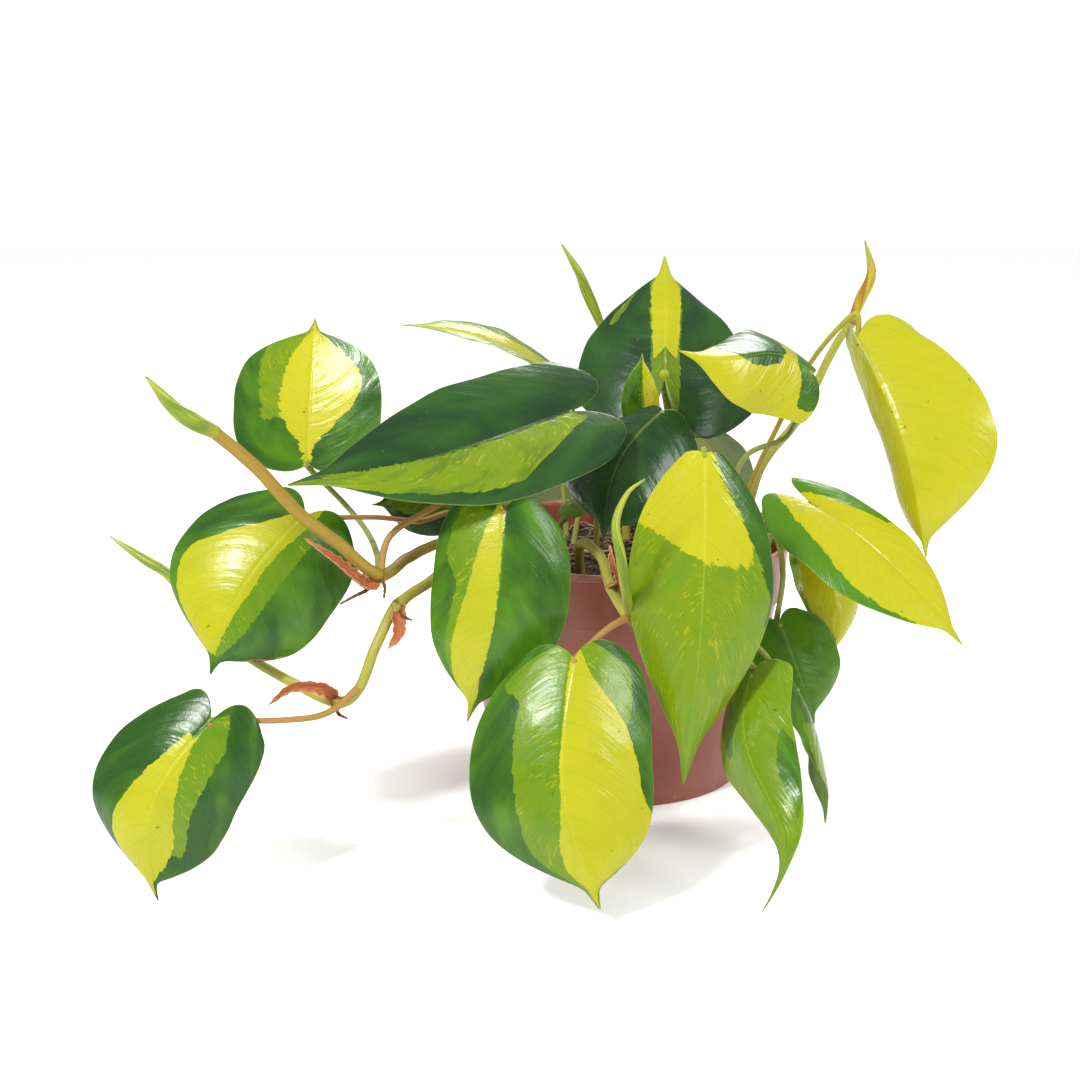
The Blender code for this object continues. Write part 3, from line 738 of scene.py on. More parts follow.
def make_rolled_leaf(stem, stems, materials):
    """A new leaf still rolled up: the radius grows with the turn and steps back at the overlapping edge,
    which winds slowly round from the foot to the sharp tip."""
    path, along = even_path(stem_route(stem, stems), ROLLED_STEPS)
    share = (along / along[-1])[:, None]
    wind = (turns(ROLLED_AROUND) / (2 * math.pi) - 0.55 * share - stem["turn"]) % 1.0
    overlap = 0.30 * np.sin(math.pi * np.clip(share * 1.15 + 0.02, 0, 1)) ** 0.7
    radius = radii_along(stem, share[:, 0]) * (1 - overlap * (wind - 0.35)) * 0.98
    make_tube("rolled_" + stem["name"], path, along, radius, materials[stem["tint"]], "lime_leaf",
              [stem["name"]], wind=on_tube(wind, (0.5, 0.5)))


def make_sheath(stem, stems, materials):
    """A dried bract: a papery trough, wider in its lower half, that narrows to a curled tip.

    Across it, v turns over an arc of radius curl about its path, and its edges ripple."""
    path, along = even_path(stem_route(stem, stems), SHEATH_STEPS)
    share, run = along / along[-1], along / MM
    _, sides, ups = path_frames(path, stem["hint"])
    v = np.linspace(-1.0, 1.0, SHEATH_COLUMNS)
    width = stem["breadth"] * MM * curve_through(SHEATH_ALONG, SHEATH_BREADTH, share)
    width = width * (1 + 0.11 * np.sin(run * 1.7) + 0.06 * np.sin(run * 4.3))
    opening = np.radians(82 - 25 * share)
    curl = (width / opening)[:, None]
    angle = v[None, :] * opening[:, None]
    ripple = 0.12 * MM * np.sin(run * 2.1)[:, None] * v**4 * np.sign(v)
    x = curl * np.sin(angle)
    z = curl * (1 - np.cos(angle)) + ripple
    middle = path[:, None, :] + x[..., None] * sides[:, None, :] + z[..., None] * ups[:, None, :]
    lift = unit(np.cross(np.gradient(middle, axis=1), np.gradient(middle, axis=0))) * SHEATH_THICKNESS / 2
    fields = {
        "share": np.tile(np.repeat(share, len(v)), 2),
        "run": np.tile(np.repeat(run, len(v)), 2),
        "side": np.tile(v, 2 * len(run)),
    }
    points, faces = shell(middle + lift, middle - lift)
    piece("dried_" + stem["name"], points, faces, materials["sheath"], [stem["name"]], fields)


def make_air_root(name, route, radius, materials):
    """A short brown root that feels its way out of a joint: a tapering tube with a blunt end."""
    path, along = even_path(np.array(route, float) * MM, AIR_ROOT_STEPS)
    size = radius * MM * (1 - 0.55 * (along / along[-1]) ** 1.5) * (1 + 0.12 * np.sin(along / MM * 3))
    rings = np.repeat(size[:, None], AIR_ROOT_AROUND, 1)
    make_tube(name, path, along, rings, materials["air_root"], "brown_stem")


# ---------------------------------------------------------------- the plant's layout, in millimetres


def stem(name, root, route, radii=(), tint="rolled", **extras):
    """A vine, a rolled new leaf or a dried sheath. The radii run evenly along it."""
    radii = tuple(radius * MM for radius in radii)
    return dict(extras, name=name, root=root, route=route, radii=radii, tint=tint)


VINES = (
    stem("vine_left_upper", ("soil", -34, -22),
         ((-46, -34, 92), (-61, -44, 92), (-70, -64, 92), (-77, -80, 91), (-88, -86, 102),
          (-99, -92, 113), (-110, -98, 128), (-121, -104, 140)),
         (1.7, 1.8, 2.1, 2), colour="brown_stem", joints=(3,)),
    stem("vine_left_lower", ("soil", -24, -36),
         ((-38, -44, 91), (-52, -54, 90), (-62, -68, 86), (-72, -80, 81), (-78, -87, 70),
          (-83, -91, 58), (-90, -91, 54), (-104, -84, 58), (-119, -74, 63), (-131, -66, 71),
          (-142, -60, 82)),
         (1.7, 1.8, 1.7, 1.6), colour="green_stem", joints=(3, 6)),
    stem("vine_front", ("soil", -14, -32),
         ((-15, -46, 92), (-9, -60, 92), (-6, -73, 85), (-1, -84, 79), (8, -80, 73), (19, -76, 70),
          (29, -73, 67)),
         (1.7, 1.7, 1.6), colour="green_stem", joints=(2, 3, 5)),
    stem("vine_right", ("soil", 44, 8),
         ((50, 10, 105), (64, 13, 124), (75, 13, 148), (81, 12, 158)),
         (1.8, 1.7, 1.5), colour="green_stem", joints=(1, 3)),
    stem("vine_back", ("soil", 4, 28),
         ((3, 36, 110), (-2, 42, 135), (-5, 42, 153)),
         (1.7, 1.5, 1.4), colour="green_stem", joints=(1,)),
)

ROLLED_LEAVES = (
    stem("new_leaf_left_upper", ("vine_left_upper", "end"),
         ((-126, -107, 143), (-131, -109, 148), (-137, -111, 156)),
         (2.1, 2.5, 1.9, 0.3), turn=0.1),
    stem("new_leaf_left_lower", ("vine_left_lower", "end"),
         ((-148, -57, 86), (-154, -55, 89), (-166, -51, 96)),
         (1.6, 1.9, 1.4, 0.3), turn=0.6),
    stem("new_leaf_front", ("vine_front", 3),
         ((-4, -97, 100), (-6, -101, 112), (-3, -102, 121), (2, -101, 125)),
         (1.3, 1.8, 1.4, 0.3), turn=0.35),
    stem("new_leaf_right", ("vine_right", "end"),
         ((84, 12, 166), (87, 11, 175), (84, 10, 186)),
         (1.4, 2.1, 1.5, 0.3), turn=0.8, tint="rolled_ripe"),
    stem("new_leaf_back", ("vine_back", "end"),
         ((-9, 42, 162), (-14, 41, 173), (-20, 40, 183)),
         (1.4, 2, 1.6, 0.3), turn=0.5),
)

SHEATHS = (
    stem("sheath_left_upper", ("vine_left_upper", 3), ((-81, -85, 89), (-89, -91, 98), (-97, -95, 106)),
         breadth=3.2, hint=(0, -1, 0.35)),
    stem("sheath_left_middle", ("vine_left_lower", 3), ((-71, -83, 79), (-71, -86, 74), (-74, -88, 70)),
         breadth=3.0, hint=(0.2, -1, 0.2)),
    stem("sheath_left_lower", ("vine_left_lower", 6), ((-93, -95, 60), (-102, -97, 61), (-109, -99, 56)),
         breadth=2.7, hint=(0, -1, 0.5)),
    stem("sheath_front", ("vine_front", 2), ((-3, -81, 90), (-6, -85, 96), (-7, -87, 102)),
         breadth=2.4, hint=(0.2, -1, 0.1)),
)

LEAVES = (
    leaf("left_top", (-101, -56, 121), (-100, -36, 164), (0, -1, 0.4), 46, ("vine_left_upper", 3),
         ((-79, -66, 94), (-84, -50, 98), (-92, -44, 106)),
         arch=0.05, fold=4, cup=8, lobe=0.06, ripe=0.95),
    leaf("left_middle", (-100, -75, 108), (-127, -94, 64), (0.1, -1, 0.45), 54, ("soil", -42, -6),
         ((-54, -28, 98), (-67, -50, 101), (-80, -62, 105)),
         stalk="brown_stem", lobe=0.13, bow=0.08, ripe=0.15, belly=1.15),
    leaf("left_bottom", (-124, -112, 55), (-142, -124, 6), (-0.05, -1, 0.4), 46, ("vine_left_lower", 5),
         ((-92, -98, 53), (-104, -104, 53)),
         stalk="brown_stem", lobe=0.16, curl=-0.06, bow=0.13, ripe=0.3, shade=0.3, belly=1.15),
    leaf("left_inner", (-50, -22, 104), (-83, -40, 104), (-0.2, -1, 0.3), 26, ("soil", -28, -6),
         ((-38, -10, 100),),
         colour="dark_leaf"),
    leaf("back_long", (-18, -46, 136), (-103, -85, 120), (0, -0.65, 0.75), 50, ("soil", -8, 2),
         ((-8, -8, 112), (-8, -34, 128)),
         colour="dark_leaf", arch=0.04, fold=12, cup=-10, lobe=0.15, bow=-0.07, taper=1.0, ripe=0.75),
    leaf("back_narrow", (-20, 35, 134), (-76, 11, 157), (0, -0.25, 1), 32, ("soil", -16, 18),
         ((-11, 26, 112),),
         colour="lime_leaf", fold=20, taper=1.0),
    leaf("crown", (15, 0, 141), (17, 36, 179), (0.05, -0.6, 0.8), 67, ("soil", 20, 4),
         ((20, 8, 112), (17, 10, 132)),
         colour="dark_leaf", arch=0.05, fold=-12, cup=-12, lobe=0.4, belly=0.52, wave=1.2, lean=0.06,
         thick=2.3, tint="stalk_lime"),
    leaf("new_centre", (7, -16, 128), (6, -18, 151), (-0.3, -1, 0.1), 14, ("soil", 8, -18),
         ((9, -16, 108),),
         colour="lime_leaf", fold=35, taper=1.0),
    leaf("right_top", (61, -30, 146), (16, -44, 155), (0.15, -0.7, 0.7), 40, ("soil", 34, -18),
         ((40, -14, 112), (56, -16, 123)),
         colour="yellow_leaf", fold=-22, cup=-10, lobe=0.1, taper=1.0, ripe=0.7, sway=0.06),
    leaf("right_yellow", (77, -20, 155), (96.5, -50, 89), (-0.85, -1, 0.3), 43.5, ("soil", 38, 0),
         ((46, 0, 103), (55, -2, 125), (63, -8, 145), (71, -14, 158), (77, -17, 164)),
         colour="yellow_leaf", stalk="brown_stem", fold=-25, bow=-0.1, approach=3, belly=1.5, ripe=0.45,
         lean=-0.35, tint="stalk_ripe"),
    leaf("right_middle", (61, -46, 105), (101, -84, 70), (0.2, -0.8, 0.7), 34, ("soil", 44, -22),
         ((48, -34, 104),),
         colour="yellow_leaf", taper=0.6, lobe=0.24, fold=8, ripe=0.55, shade=0.95, lean=0.2),
    leaf("right_hanging", (66, -32, 93), (73, -46, 54), (0.2, -1, 0.3), 26, ("soil", 48, -8),
         ((58, -18, 97), (65, -27, 100)),
         colour="yellow_leaf", twist=30, taper=0.6, curl=0.2),
    leaf("middle_dark", (12, -34, 134), (-8, -60, 97), (-0.3, -0.9, 0.4), 50, ("soil", 12, -30),
         ((18, -26, 112), (20, -26, 125)),
         colour="dark_leaf", cup=-25, bow=0.1, shoulder=0.35, lobe=0.06),
    leaf("front_large", (21, -83, 129), (15, -102, 32), (0, -1, 0.3), 50, ("soil", 30, -32),
         ((36, -56, 104), (25, -71, 117)),
         colour="lime_leaf", arch=0.03, lobe=0.01, bow=-0.02, taper=1.0, shade=0.2, ripe=0.75, shoulder=0.7),
    leaf("front_left", (-39, -84, 112), (-50, -94, 49), (-0.05, -1, 0.3), 44, ("vine_left_upper", 3),
         ((-74, -76, 102), (-64, -70, 108), (-50, -67, 114)),
         stalk="brown_stem", lobe=0.09, bow=-0.05, ripe=0.4),
    leaf("front_bottom", (-18, -108, 73), (-11, -134, 7), (0, -1, 0.45), 56, ("vine_front", 3),
         ((-8, -94, 78),),
         stalk="brown_stem", lobe=0.09, bow=0.1, ripe=0.45, belly=1.22),
    leaf("low_front", (37, -83, 60), (45, -130, 7.5), (-0.7, -0.9, 0.1), 30, ("vine_front", 6),
         ((33, -76, 67),),
         colour="lime_leaf", lobe=0.06, curl=0.17, sway=0.05, taper=1.0, belly=0.85, ripe=0.5),
    leaf("low_dark", (49, -58, 69), (60, -66, 38), (0.1, -1, 0.3), 34, ("soil", 38, -33),
         ((47, -44, 95), (50, -54, 85)),
         colour="dark_leaf", shade=0.8, finish="green_leaf"),
    leaf("low_right", (52, -78, 54), (60, -92, 15), (0.9, -0.3, 0.2), 24, ("vine_front", 5),
         ((30, -72, 72), (42, -73, 64)),
         colour="lime_leaf", twist=60, taper=1.0),
    leaf("soil_small", (-20, -19, 99), (-3, -26, 104), (0, -0.5, 1), 13, ("soil", -22, -14),
         ((-23, -15, 88),),
         colour="lime_leaf"),
    leaf("rear_right", (30, 60, 112), (42, 92, 64), (0.1, 0.8, 0.6), 46, ("soil", 22, 34),
         ((25, 46, 104),)),
    leaf("rear_left", (-24, 56, 110), (-38, 88, 64), (-0.1, 0.8, 0.6), 44, ("soil", -18, 34),
         ((-20, 44, 104),)),
)

AIR_ROOTS = (
    ("air_root_left_upper", ((-77, -80, 91), (-80, -83, 87.5), (-84, -86, 86), (-88, -87, 84)), 0.75),
    ("air_root_left_upper_short", ((-77, -80, 91), (-75, -84, 88.5), (-75, -87, 86)), 0.7),
    ("air_root_left_lower", ((-72, -80, 81), (-70, -83, 79), (-67, -86, 78.5)), 0.7),
    ("air_root_left_curl", ((-90, -91, 54), (-89, -94, 51.5), (-86, -97, 51)), 0.7),
    ("air_root_front", ((-1, -84, 79), (2, -87, 77.5), (5, -89, 78.5)), 0.6),
)

# Colour patches: each is a tuple of bands, and a band is (s, left border, right border) at some s.
# spread stretches the distances to their borders, so below 1 the borders are torn more.
PATTERNS = {
    "left_top": {
        "spread": 0.7,
        "yellow": (((0, -0.05, 0.05), (0.13, -0.12, 0.09), (0.39, -0.41, 0.56), (0.57, -0.39, 0.74),
            (0.81, -0.37, 0.62), (1, -0.6, 0.8)),),
        "lime": (((0.3, -0.62, -0.15), (0.6, -0.75, -0.2), (1, -1.2, 1.2)),),
    },
    "left_middle": {
        "spread": 1.5,
        "yellow": (((0, -0.22, 0.06), (0.15, -0.15, 0.22), (0.32, -0.1, 0.55), (0.45, -0.1, 0.8),
            (0.7, -0.05, 0.86), (0.9, 0, 0.85)),),
        "lime": (((0.1, -0.35, 0), (0.5, -0.32, 0), (0.9, -0.25, 0.1)),),
        "scars": ((0.83, -0.98, 1.2), (0.76, -1, 0.8)),
    },
    "left_bottom": {
        "yellow": (((0.12, -0.05, 0.08), (0.25, -0.12, 0.16), (0.5, -0.26, 0.38), (0.8, -0.45, 0.72),
            (0.97, -0.4, 0.8)),),
        "lime": (((0.04, -0.3, -0.05), (0.2, -0.5, 0.1), (0.5, -0.5, 0.1), (0.75, -0.62, 0.1)),),
        "spread": 1.3,
    },
    "left_inner": {"lime": (((0.05, -0.2, 0.15), (0.5, -0.45, 0.2), (1, -0.4, 0.3)),)},
    "back_long": {
        "lime": (((0.03, -0.15, 0), (0.35, -0.78, -0.02), (0.7, -0.8, 0), (1, -1.2, 0.3)),),
        "over": (((0, -2, -0.1), (0.15, -2, -0.3), (0.3, -2, -0.66), (0.45, -2, -1.08)),),
    },
    "back_narrow": {
        "lime": (EVERYWHERE,),
        "yellow": (((0, -0.9, 0.3), (0.6, -0.8, 0.5), (1, -0.5, 0.6)),),
    },
    "crown": {
        "yellow": (((0.22, -0.12, 0.12), (0.4, -0.16, 0.16), (0.6, -0.25, 0.25), (0.7, -0.38, 0.38),
            (0.8, -0.8, 0.8), (0.88, -2, 2), (1, -2, 2)),),
        "lime": (((0, -0.16, 0.16), (0.2, -0.15, 0.15), (0.5, -0.22, 0.22), (0.7, -0.42, 0.42),
            (0.84, -1.2, 1.2), (1, -2, 2)), ((0.5, -0.82, -0.72), (0.6, -0.86, -0.7),
            (0.7, -0.9, -0.86))),
        "spread": 1.8,
    },
    "new_centre": {
        "lime": (((0, -0.1, 1.2), (1, -0.1, 1.2)),),
        "yellow": (((0.1, 0.15, 1.2), (1, 0.15, 1.2)),),
    },
    "right_top": {
        "yellow": (EVERYWHERE,),
        "over": (((0, -0.75, 2), (0.13, -0.75, 2)), ((0.22, 0.1, 2), (0.28, -0.12, 2), (0.45, -0.2, 2),
            (0.6, 0.05, 2), (0.72, 0.5, 2))),
    },
    "right_yellow": {"yellow": (EVERYWHERE,)},
    "right_middle": {
        "yellow": (EVERYWHERE,),
        "over": (((0, 0.3, 2), (0.18, 0.5, 2), (0.5, 0.78, 2), (0.8, 0.92, 2)), ((0, -2, -0.12),
            (0.15, -2, -0.4), (0.35, -2, -0.85))),
    },
    "right_hanging": {
        "lime": (EVERYWHERE,),
        "yellow": (((0, -0.9, 0.7), (0.6, -1.2, 0.9), (1, -0.3, 0.3)),),
    },
    "middle_dark": {},
    "front_large": {
        "spread": 0.34,
        "lime": (EVERYWHERE,),
        "yellow": (((0, -2, 2), (0.15, -2, 2), (0.22, -0.9, 0.95), (0.27, -0.75, 0.5),
            (0.34, -0.62, -0.1)),),
        "over": (((0, -2, -0.3), (0.16, -2, -0.58), (0.27, -2, -0.7), (0.38, -2, -0.88),
            (0.52, -2, -1)),),
    },
    "front_left": {
        "spread": 1.4,
        "yellow": (((0, -0.03, 0.12), (0.2, 0, 0.32), (0.5, 0, 0.5), (0.8, 0, 0.75), (1, -0.6, 1.2)),),
        "lime": (((0.06, 0.1, 0.75), (0.25, 0.2, 0.8), (0.42, 0.2, 0.5)), ((0.3, 0, 0.55), (1, 0, 0.9))),
    },
    "front_bottom": {
        "spread": 1.7,
        "yellow": (((0, -0.12, 0.03), (0.12, -0.3, 0.02), (0.28, -0.66, 0), (0.42, -0.8, 0.02),
            (0.6, -0.88, 0.06), (0.75, -1.1, 0.2), (1, -0.6, 0.6)),),
        "lime": (((0, -0.3, 0.25), (0.1, -0.8, 0.8), (0.2, -0.78, 0.5), (0.5, -0.6, 0.5),
            (1, -0.6, 0.8)),),
    },
    "low_front": {
        "lime": (EVERYWHERE,),
        "over": (((0, 0.3, 0.3), (0.12, 0.1, 0.9), (0.35, 0.5, 0.6)), ((0.3, -0.8, -0.75),
            (0.5, -1.3, -0.5), (0.7, -0.8, -0.75))),
    },
    "low_dark": {},
    "low_right": {"lime": (((0.3, -0.6, 0.7), (1, -0.8, 1.2)),)},
    "soil_small": {"lime": (EVERYWHERE,)},
    "rear_right": {
        "lime": (((0.05, -0.1, 0.4), (0.5, -0.05, 0.6), (0.95, -0.1, 0.5)),),
        "yellow": (((0.15, 0, 0.2), (0.5, 0.05, 0.4), (0.85, 0, 0.3)),),
    },
    "rear_left": {
        "lime": (((0.05, -0.5, 0.05), (0.5, -0.7, 0), (0.95, -0.5, 0.1)),),
        "yellow": (((0.1, -0.2, 0), (0.5, -0.5, -0.05), (0.9, -0.3, 0)),),
    },
}


# ---------------------------------------------------------------- stem finishes

# Material, colour at the foot, colour at the head, streaks, and how strong the streaks are
STEM_FINISHES = {
    "stalk_green_stem": ("green petiole", (0.235, 0.235, 0.050), (0.200, 0.250, 0.030),
                         (0.115, 0.150, 0.020), 0.55),
    "stalk_brown_stem": ("flushed petiole", (0.27, 0.175, 0.035), (0.33, 0.155, 0.048),
                         (0.31, 0.090, 0.035), 0.5),
    "vine_green_stem": ("green vine", (0.255, 0.225, 0.035), (0.300, 0.300, 0.035),
                        (0.160, 0.150, 0.022), 0.5),
    "vine_brown_stem": ("ripe vine", (0.27, 0.205, 0.015), (0.26, 0.170, 0.014), (0.23, 0.115, 0.015), 0.6),
    "air_root": ("air root", (0.10, 0.035, 0.012), (0.055, 0.020, 0.010), (0.20, 0.09, 0.03), 0.4),
    "stalk_lime": ("lime petiole", (0.15, 0.22, 0.010), (0.27, 0.32, 0.012), (0.20, 0.27, 0.012), 0.5),
    "stalk_ripe": ("ripe petiole", (0.30, 0.19, 0.020), (0.27, 0.28, 0.020), (0.30, 0.15, 0.020), 0.5),
}


def stem_group():
    """Colour, roughness and relief of a stalk: two colours blended along it, threads drawn out lengthwise,
    and a dark scar ring at each joint."""
    tree, (foot, head, streak, strength) = new_group("stalk skin", ("Foot", "Head", "Streak"), ("Streaks",))
    share, run, ring, ring_x, ring_y = fields_of(tree, "share", "run", "ring", "ring_x", "ring_y")
    threads = noise(vector_of(ring_x * 3.2, ring_y * 3.2, run * 0.10), 1.0, 4.0, 0.65)
    broad = noise(vector_of(ring_x, ring_y, run * 0.07), 0.9)
    pits = noise(place_of(tree), 1400.0, 2.0, 0.6)
    joint = ramp(threads * 0.7 + ring - 0.35, 0.1, 0.6, 0.65, 0.0)
    colour = blend(ramp(broad * 0.5 + share - 0.25, 0.1, 0.9), foot, head)
    colour = blend(ramp(threads, 0.42, 0.68) * strength, colour, streak)
    colour = blend(ramp(pits, 0.62, 0.72) * 0.35, colour, (0.10, 0.045, 0.012))
    colour = blend(joint, colour, (0.12, 0.050, 0.014))
    return give_out(tree, colour, threads * 0.25 + 0.30, threads + pits * 0.3)


def rolled_material(name, plain, striped):
    """A rolled new leaf: soft stripes that follow the winding edge, whose lip is paler, and a brown tip."""
    material, tree, shader = new_material(name, 0.34, scatter=0.1)
    share, run, wind = fields_of(tree, "share", "run", "wind")
    stripes = noise(vector_of(wind * 5.0, run * 0.05, 0.3), 1.0, 3.0, 0.6)
    colour = blend(ramp(stripes, 0.38, 0.62), plain, striped)
    colour = blend(ramp(share, 0.55, 1.0), colour, (0.25, 0.27, 0.03))
    colour = blend(ramp(share, 0.0, 0.2, 0.6, 0.0), colour, (0.30, 0.26, 0.03))
    colour = blend(ramp(wind, 0.90, 0.97) * 0.5, colour, (0.42, 0.44, 0.08))
    colour = blend(ramp(share, 0.965, 1.0) * 0.7, colour, (0.20, 0.13, 0.03))
    return finished(material, shader, colour, stripes * 0.25 + 0.24, stripes, 0.12 * MM)


def sheath_material():
    """A dried bract: orange-brown paper with lengthwise fibres, paler at its edges and tip, and spotted."""
    material, tree, shader = new_material("dried bract", 0.62, specular=0.5, scatter=0.2)
    share, run, side = fields_of(tree, "share", "run", "side")
    fibres = noise(vector_of(side * 9.0, run * 0.12, 0.7), 1.0, 4.0, 0.7)
    spots = noise(place_of(tree), 900.0)
    colour = blend(ramp(fibres, 0.32, 0.66), (0.42, 0.120, 0.024), (0.24, 0.062, 0.015))
    colour = blend(ramp(maths("ABSOLUTE", side), 0.72, 1.0) * 0.75, colour, (0.42, 0.20, 0.08))
    colour = blend(ramp(share, 0.7, 1.0, 0.0, 0.6), colour, (0.52, 0.26, 0.09))
    colour = blend(ramp(spots, 0.62, 0.7) * 0.6, colour, (0.16, 0.04, 0.012))
    return finished(material, shader, colour, fibres * 0.3 + 0.45, spots * 0.4 + fibres, 0.3 * MM)


def stem_materials():
    group = stem_group()
    made = {
        key: skinned(name, group, 0.42, 0.18 * MM, 0.08, colours, [strength])
        for key, (name, *colours, strength) in STEM_FINISHES.items()
    }
    made["rolled"] = rolled_material("rolled new leaf", (0.22, 0.26, 0.010), (0.11, 0.18, 0.008))
    made["rolled_ripe"] = rolled_material("ripe rolled leaf", (0.40, 0.30, 0.012), (0.26, 0.12, 0.015))
    made["sheath"] = sheath_material()
    return made


# ---------------------------------------------------------------- pot

BAND_BOTTOM = POT_HEIGHT - BAND_HEIGHT
BAND_TOP_RADIUS = RIM_RADIUS - LIP_OVERHANG
BAND_BOTTOM_RADIUS = BAND_TOP_RADIUS - BAND_TAPER
FOOT_BEVEL = 1.2 * MM
SECTOR_STEPS = 32
SECTOR_ROWS = 5
POT_STEPS = DRAIN_COUNT * SECTOR_STEPS
# How far each corner of the wall's profile is rounded, from the inner floor to the foot
CORNER_SIZES = [size * MM for size in (1.2, 1.2, 0.9, 1.0, 0.8, 0.35, 0.5, 0.5, 0.8)]


def body_radius(height):
    """The outer radius of the tapering wall under the band."""
    return FOOT_RADIUS + (BAND_BOTTOM_RADIUS - BAND_STEP - FOOT_RADIUS) * height / BAND_BOTTOM


def rounded(profile, sizes, steps):
    """A profile with each inner corner replaced by a curve that reaches its size to each side."""
    corners = np.array(profile, float)
    made = [corners[:1]]
    t = np.linspace(0.0, 1.0, steps)[:, None]
    for before, corner, after, size in zip(corners, corners[1:], corners[2:], sizes):
        reach_in = min(size, 0.45 * np.linalg.norm(corner - before))
        reach_out = min(size, 0.45 * np.linalg.norm(after - corner))
        start = corner + unit(before - corner) * reach_in
        stop = corner + unit(after - corner) * reach_out
        made.append((1 - t) ** 2 * start + 2 * t * (1 - t) * corner + t**2 * stop)
    made.append(corners[-1:])
    return np.concatenate(made)


def subdivided(profile, longest):
    """The same profile with extra points, so that no span is longer than longest."""
    made = [profile[:1]]
    for start, stop in zip(profile, profile[1:]):
        count = max(1, math.ceil(np.linalg.norm(stop - start) / longest))
        t = np.arange(1, count + 1)[:, None] / count
        made.append(start + (stop - start) * t)
    return np.concatenate(made)


def floor_sector(rim, height):
    """One sixth of a floor with a round hole: rings that grow from the hole's edge to the sector's border.

    The border runs along the outer arc, in to the centre and back out, and each ring lies at an even
    share of the way from the hole to it."""
    half = math.pi / DRAIN_COUNT
    arc = np.linspace(-half, half, SECTOR_STEPS + 1)
    ray = np.linspace(1.0, 0.0, SECTOR_STEPS // 2 + 1)[1:]
    border = np.concatenate([
        np.stack([rim * np.cos(arc), rim * np.sin(arc)], axis=1),
        np.stack([rim * ray * math.cos(half), rim * ray * math.sin(half)], axis=1),
        np.stack([rim * ray[-2::-1] * math.cos(half), -rim * ray[-2::-1] * math.sin(half)], axis=1),
    ])
    centre = np.array([DRAIN_RING_RADIUS, 0.0])
    edge = centre + unit(border - centre) * DRAIN_RADIUS
    share = np.linspace(0.0, 1.0, SECTOR_ROWS + 1)[:, None, None]
    flat = edge + (border - edge) * share
    return np.concatenate([flat, np.full((*flat.shape[:2], 1), height)], axis=2)


def turned_about(points, angle):
    """Points turned about the Z axis."""
    c, s = math.cos(angle), math.sin(angle)
    x, y, z = points[..., 0], points[..., 1], points[..., 2]
    return np.stack([x * c - y * s, x * s + y * c, z], axis=-1)


def merged(points, faces, near=1e-6):
    """Points that coincide become one, and faces that collapse are left out or lose a corner."""
    _, first, index = np.unique(np.round(points / near).astype(np.int64), axis=0, return_index=True,
                                return_inverse=True)
    block = index.reshape(-1)[np.concatenate(faces)]
    twins = block == np.roll(block, -1, axis=1)
    short = block[twins.sum(axis=1) == 1]
    tris = short[~(short == np.roll(short, -1, axis=1))].reshape(-1, 3)
    return points[first], [kept for kept in (block[~twins.any(axis=1)], tris) if len(kept)]


def make_pot(material):
    """The wall is a rounded profile turned about the axis, and the floor is six sectors round six holes."""
    inner_floor = body_radius(FLOOR_THICKNESS) - WALL
    corners = [
        (inner_floor, FLOOR_THICKNESS),
        (body_radius(BAND_BOTTOM) - WALL, BAND_BOTTOM),
        (BAND_BOTTOM_RADIUS - WALL, BAND_BOTTOM + WALL),
        (BAND_TOP_RADIUS - WALL, POT_HEIGHT),
        (RIM_RADIUS, POT_HEIGHT),
        (RIM_RADIUS, POT_HEIGHT - LIP_HEIGHT),
        (BAND_TOP_RADIUS, POT_HEIGHT - LIP_HEIGHT),
        (BAND_BOTTOM_RADIUS, BAND_BOTTOM),
        (body_radius(BAND_BOTTOM), BAND_BOTTOM),
        (FOOT_RADIUS, 0.0),
        (FOOT_RADIUS - FOOT_BEVEL, 0.0),
    ]
    profile = subdivided(rounded(corners, CORNER_SIZES, 7), 3.0 * MM)
    start = 2 * math.pi * DRAIN_TURN / DRAIN_COUNT
    angle = start - math.pi / DRAIN_COUNT + turns(POT_STEPS)
    blocks = [np.stack([
        profile[:, :1] * np.cos(angle)[None, :],
        profile[:, :1] * np.sin(angle)[None, :],
        np.repeat(profile[:, 1:], POT_STEPS, axis=1),
    ], axis=2)]
    for index in range(DRAIN_COUNT):
        turn = start + 2 * math.pi * index / DRAIN_COUNT
        above = turned_about(floor_sector(inner_floor, FLOOR_THICKNESS), turn)
        below = turned_about(floor_sector(FOOT_RADIUS - FOOT_BEVEL, 0.0), turn)
        blocks.append(np.concatenate([above[::-1], below]))
    faces, count = [], 0
    for block in blocks:
        rows, columns = block.shape[:2]
        faces.append(grid_faces(rows, columns, count, wrap=True))
        count += rows * columns
    points, faces = merged(np.concatenate([block.reshape(-1, 3) for block in blocks]), faces)
    piece("turned_pot", points, faces, material, ["nursery_pot"], sharp=40)


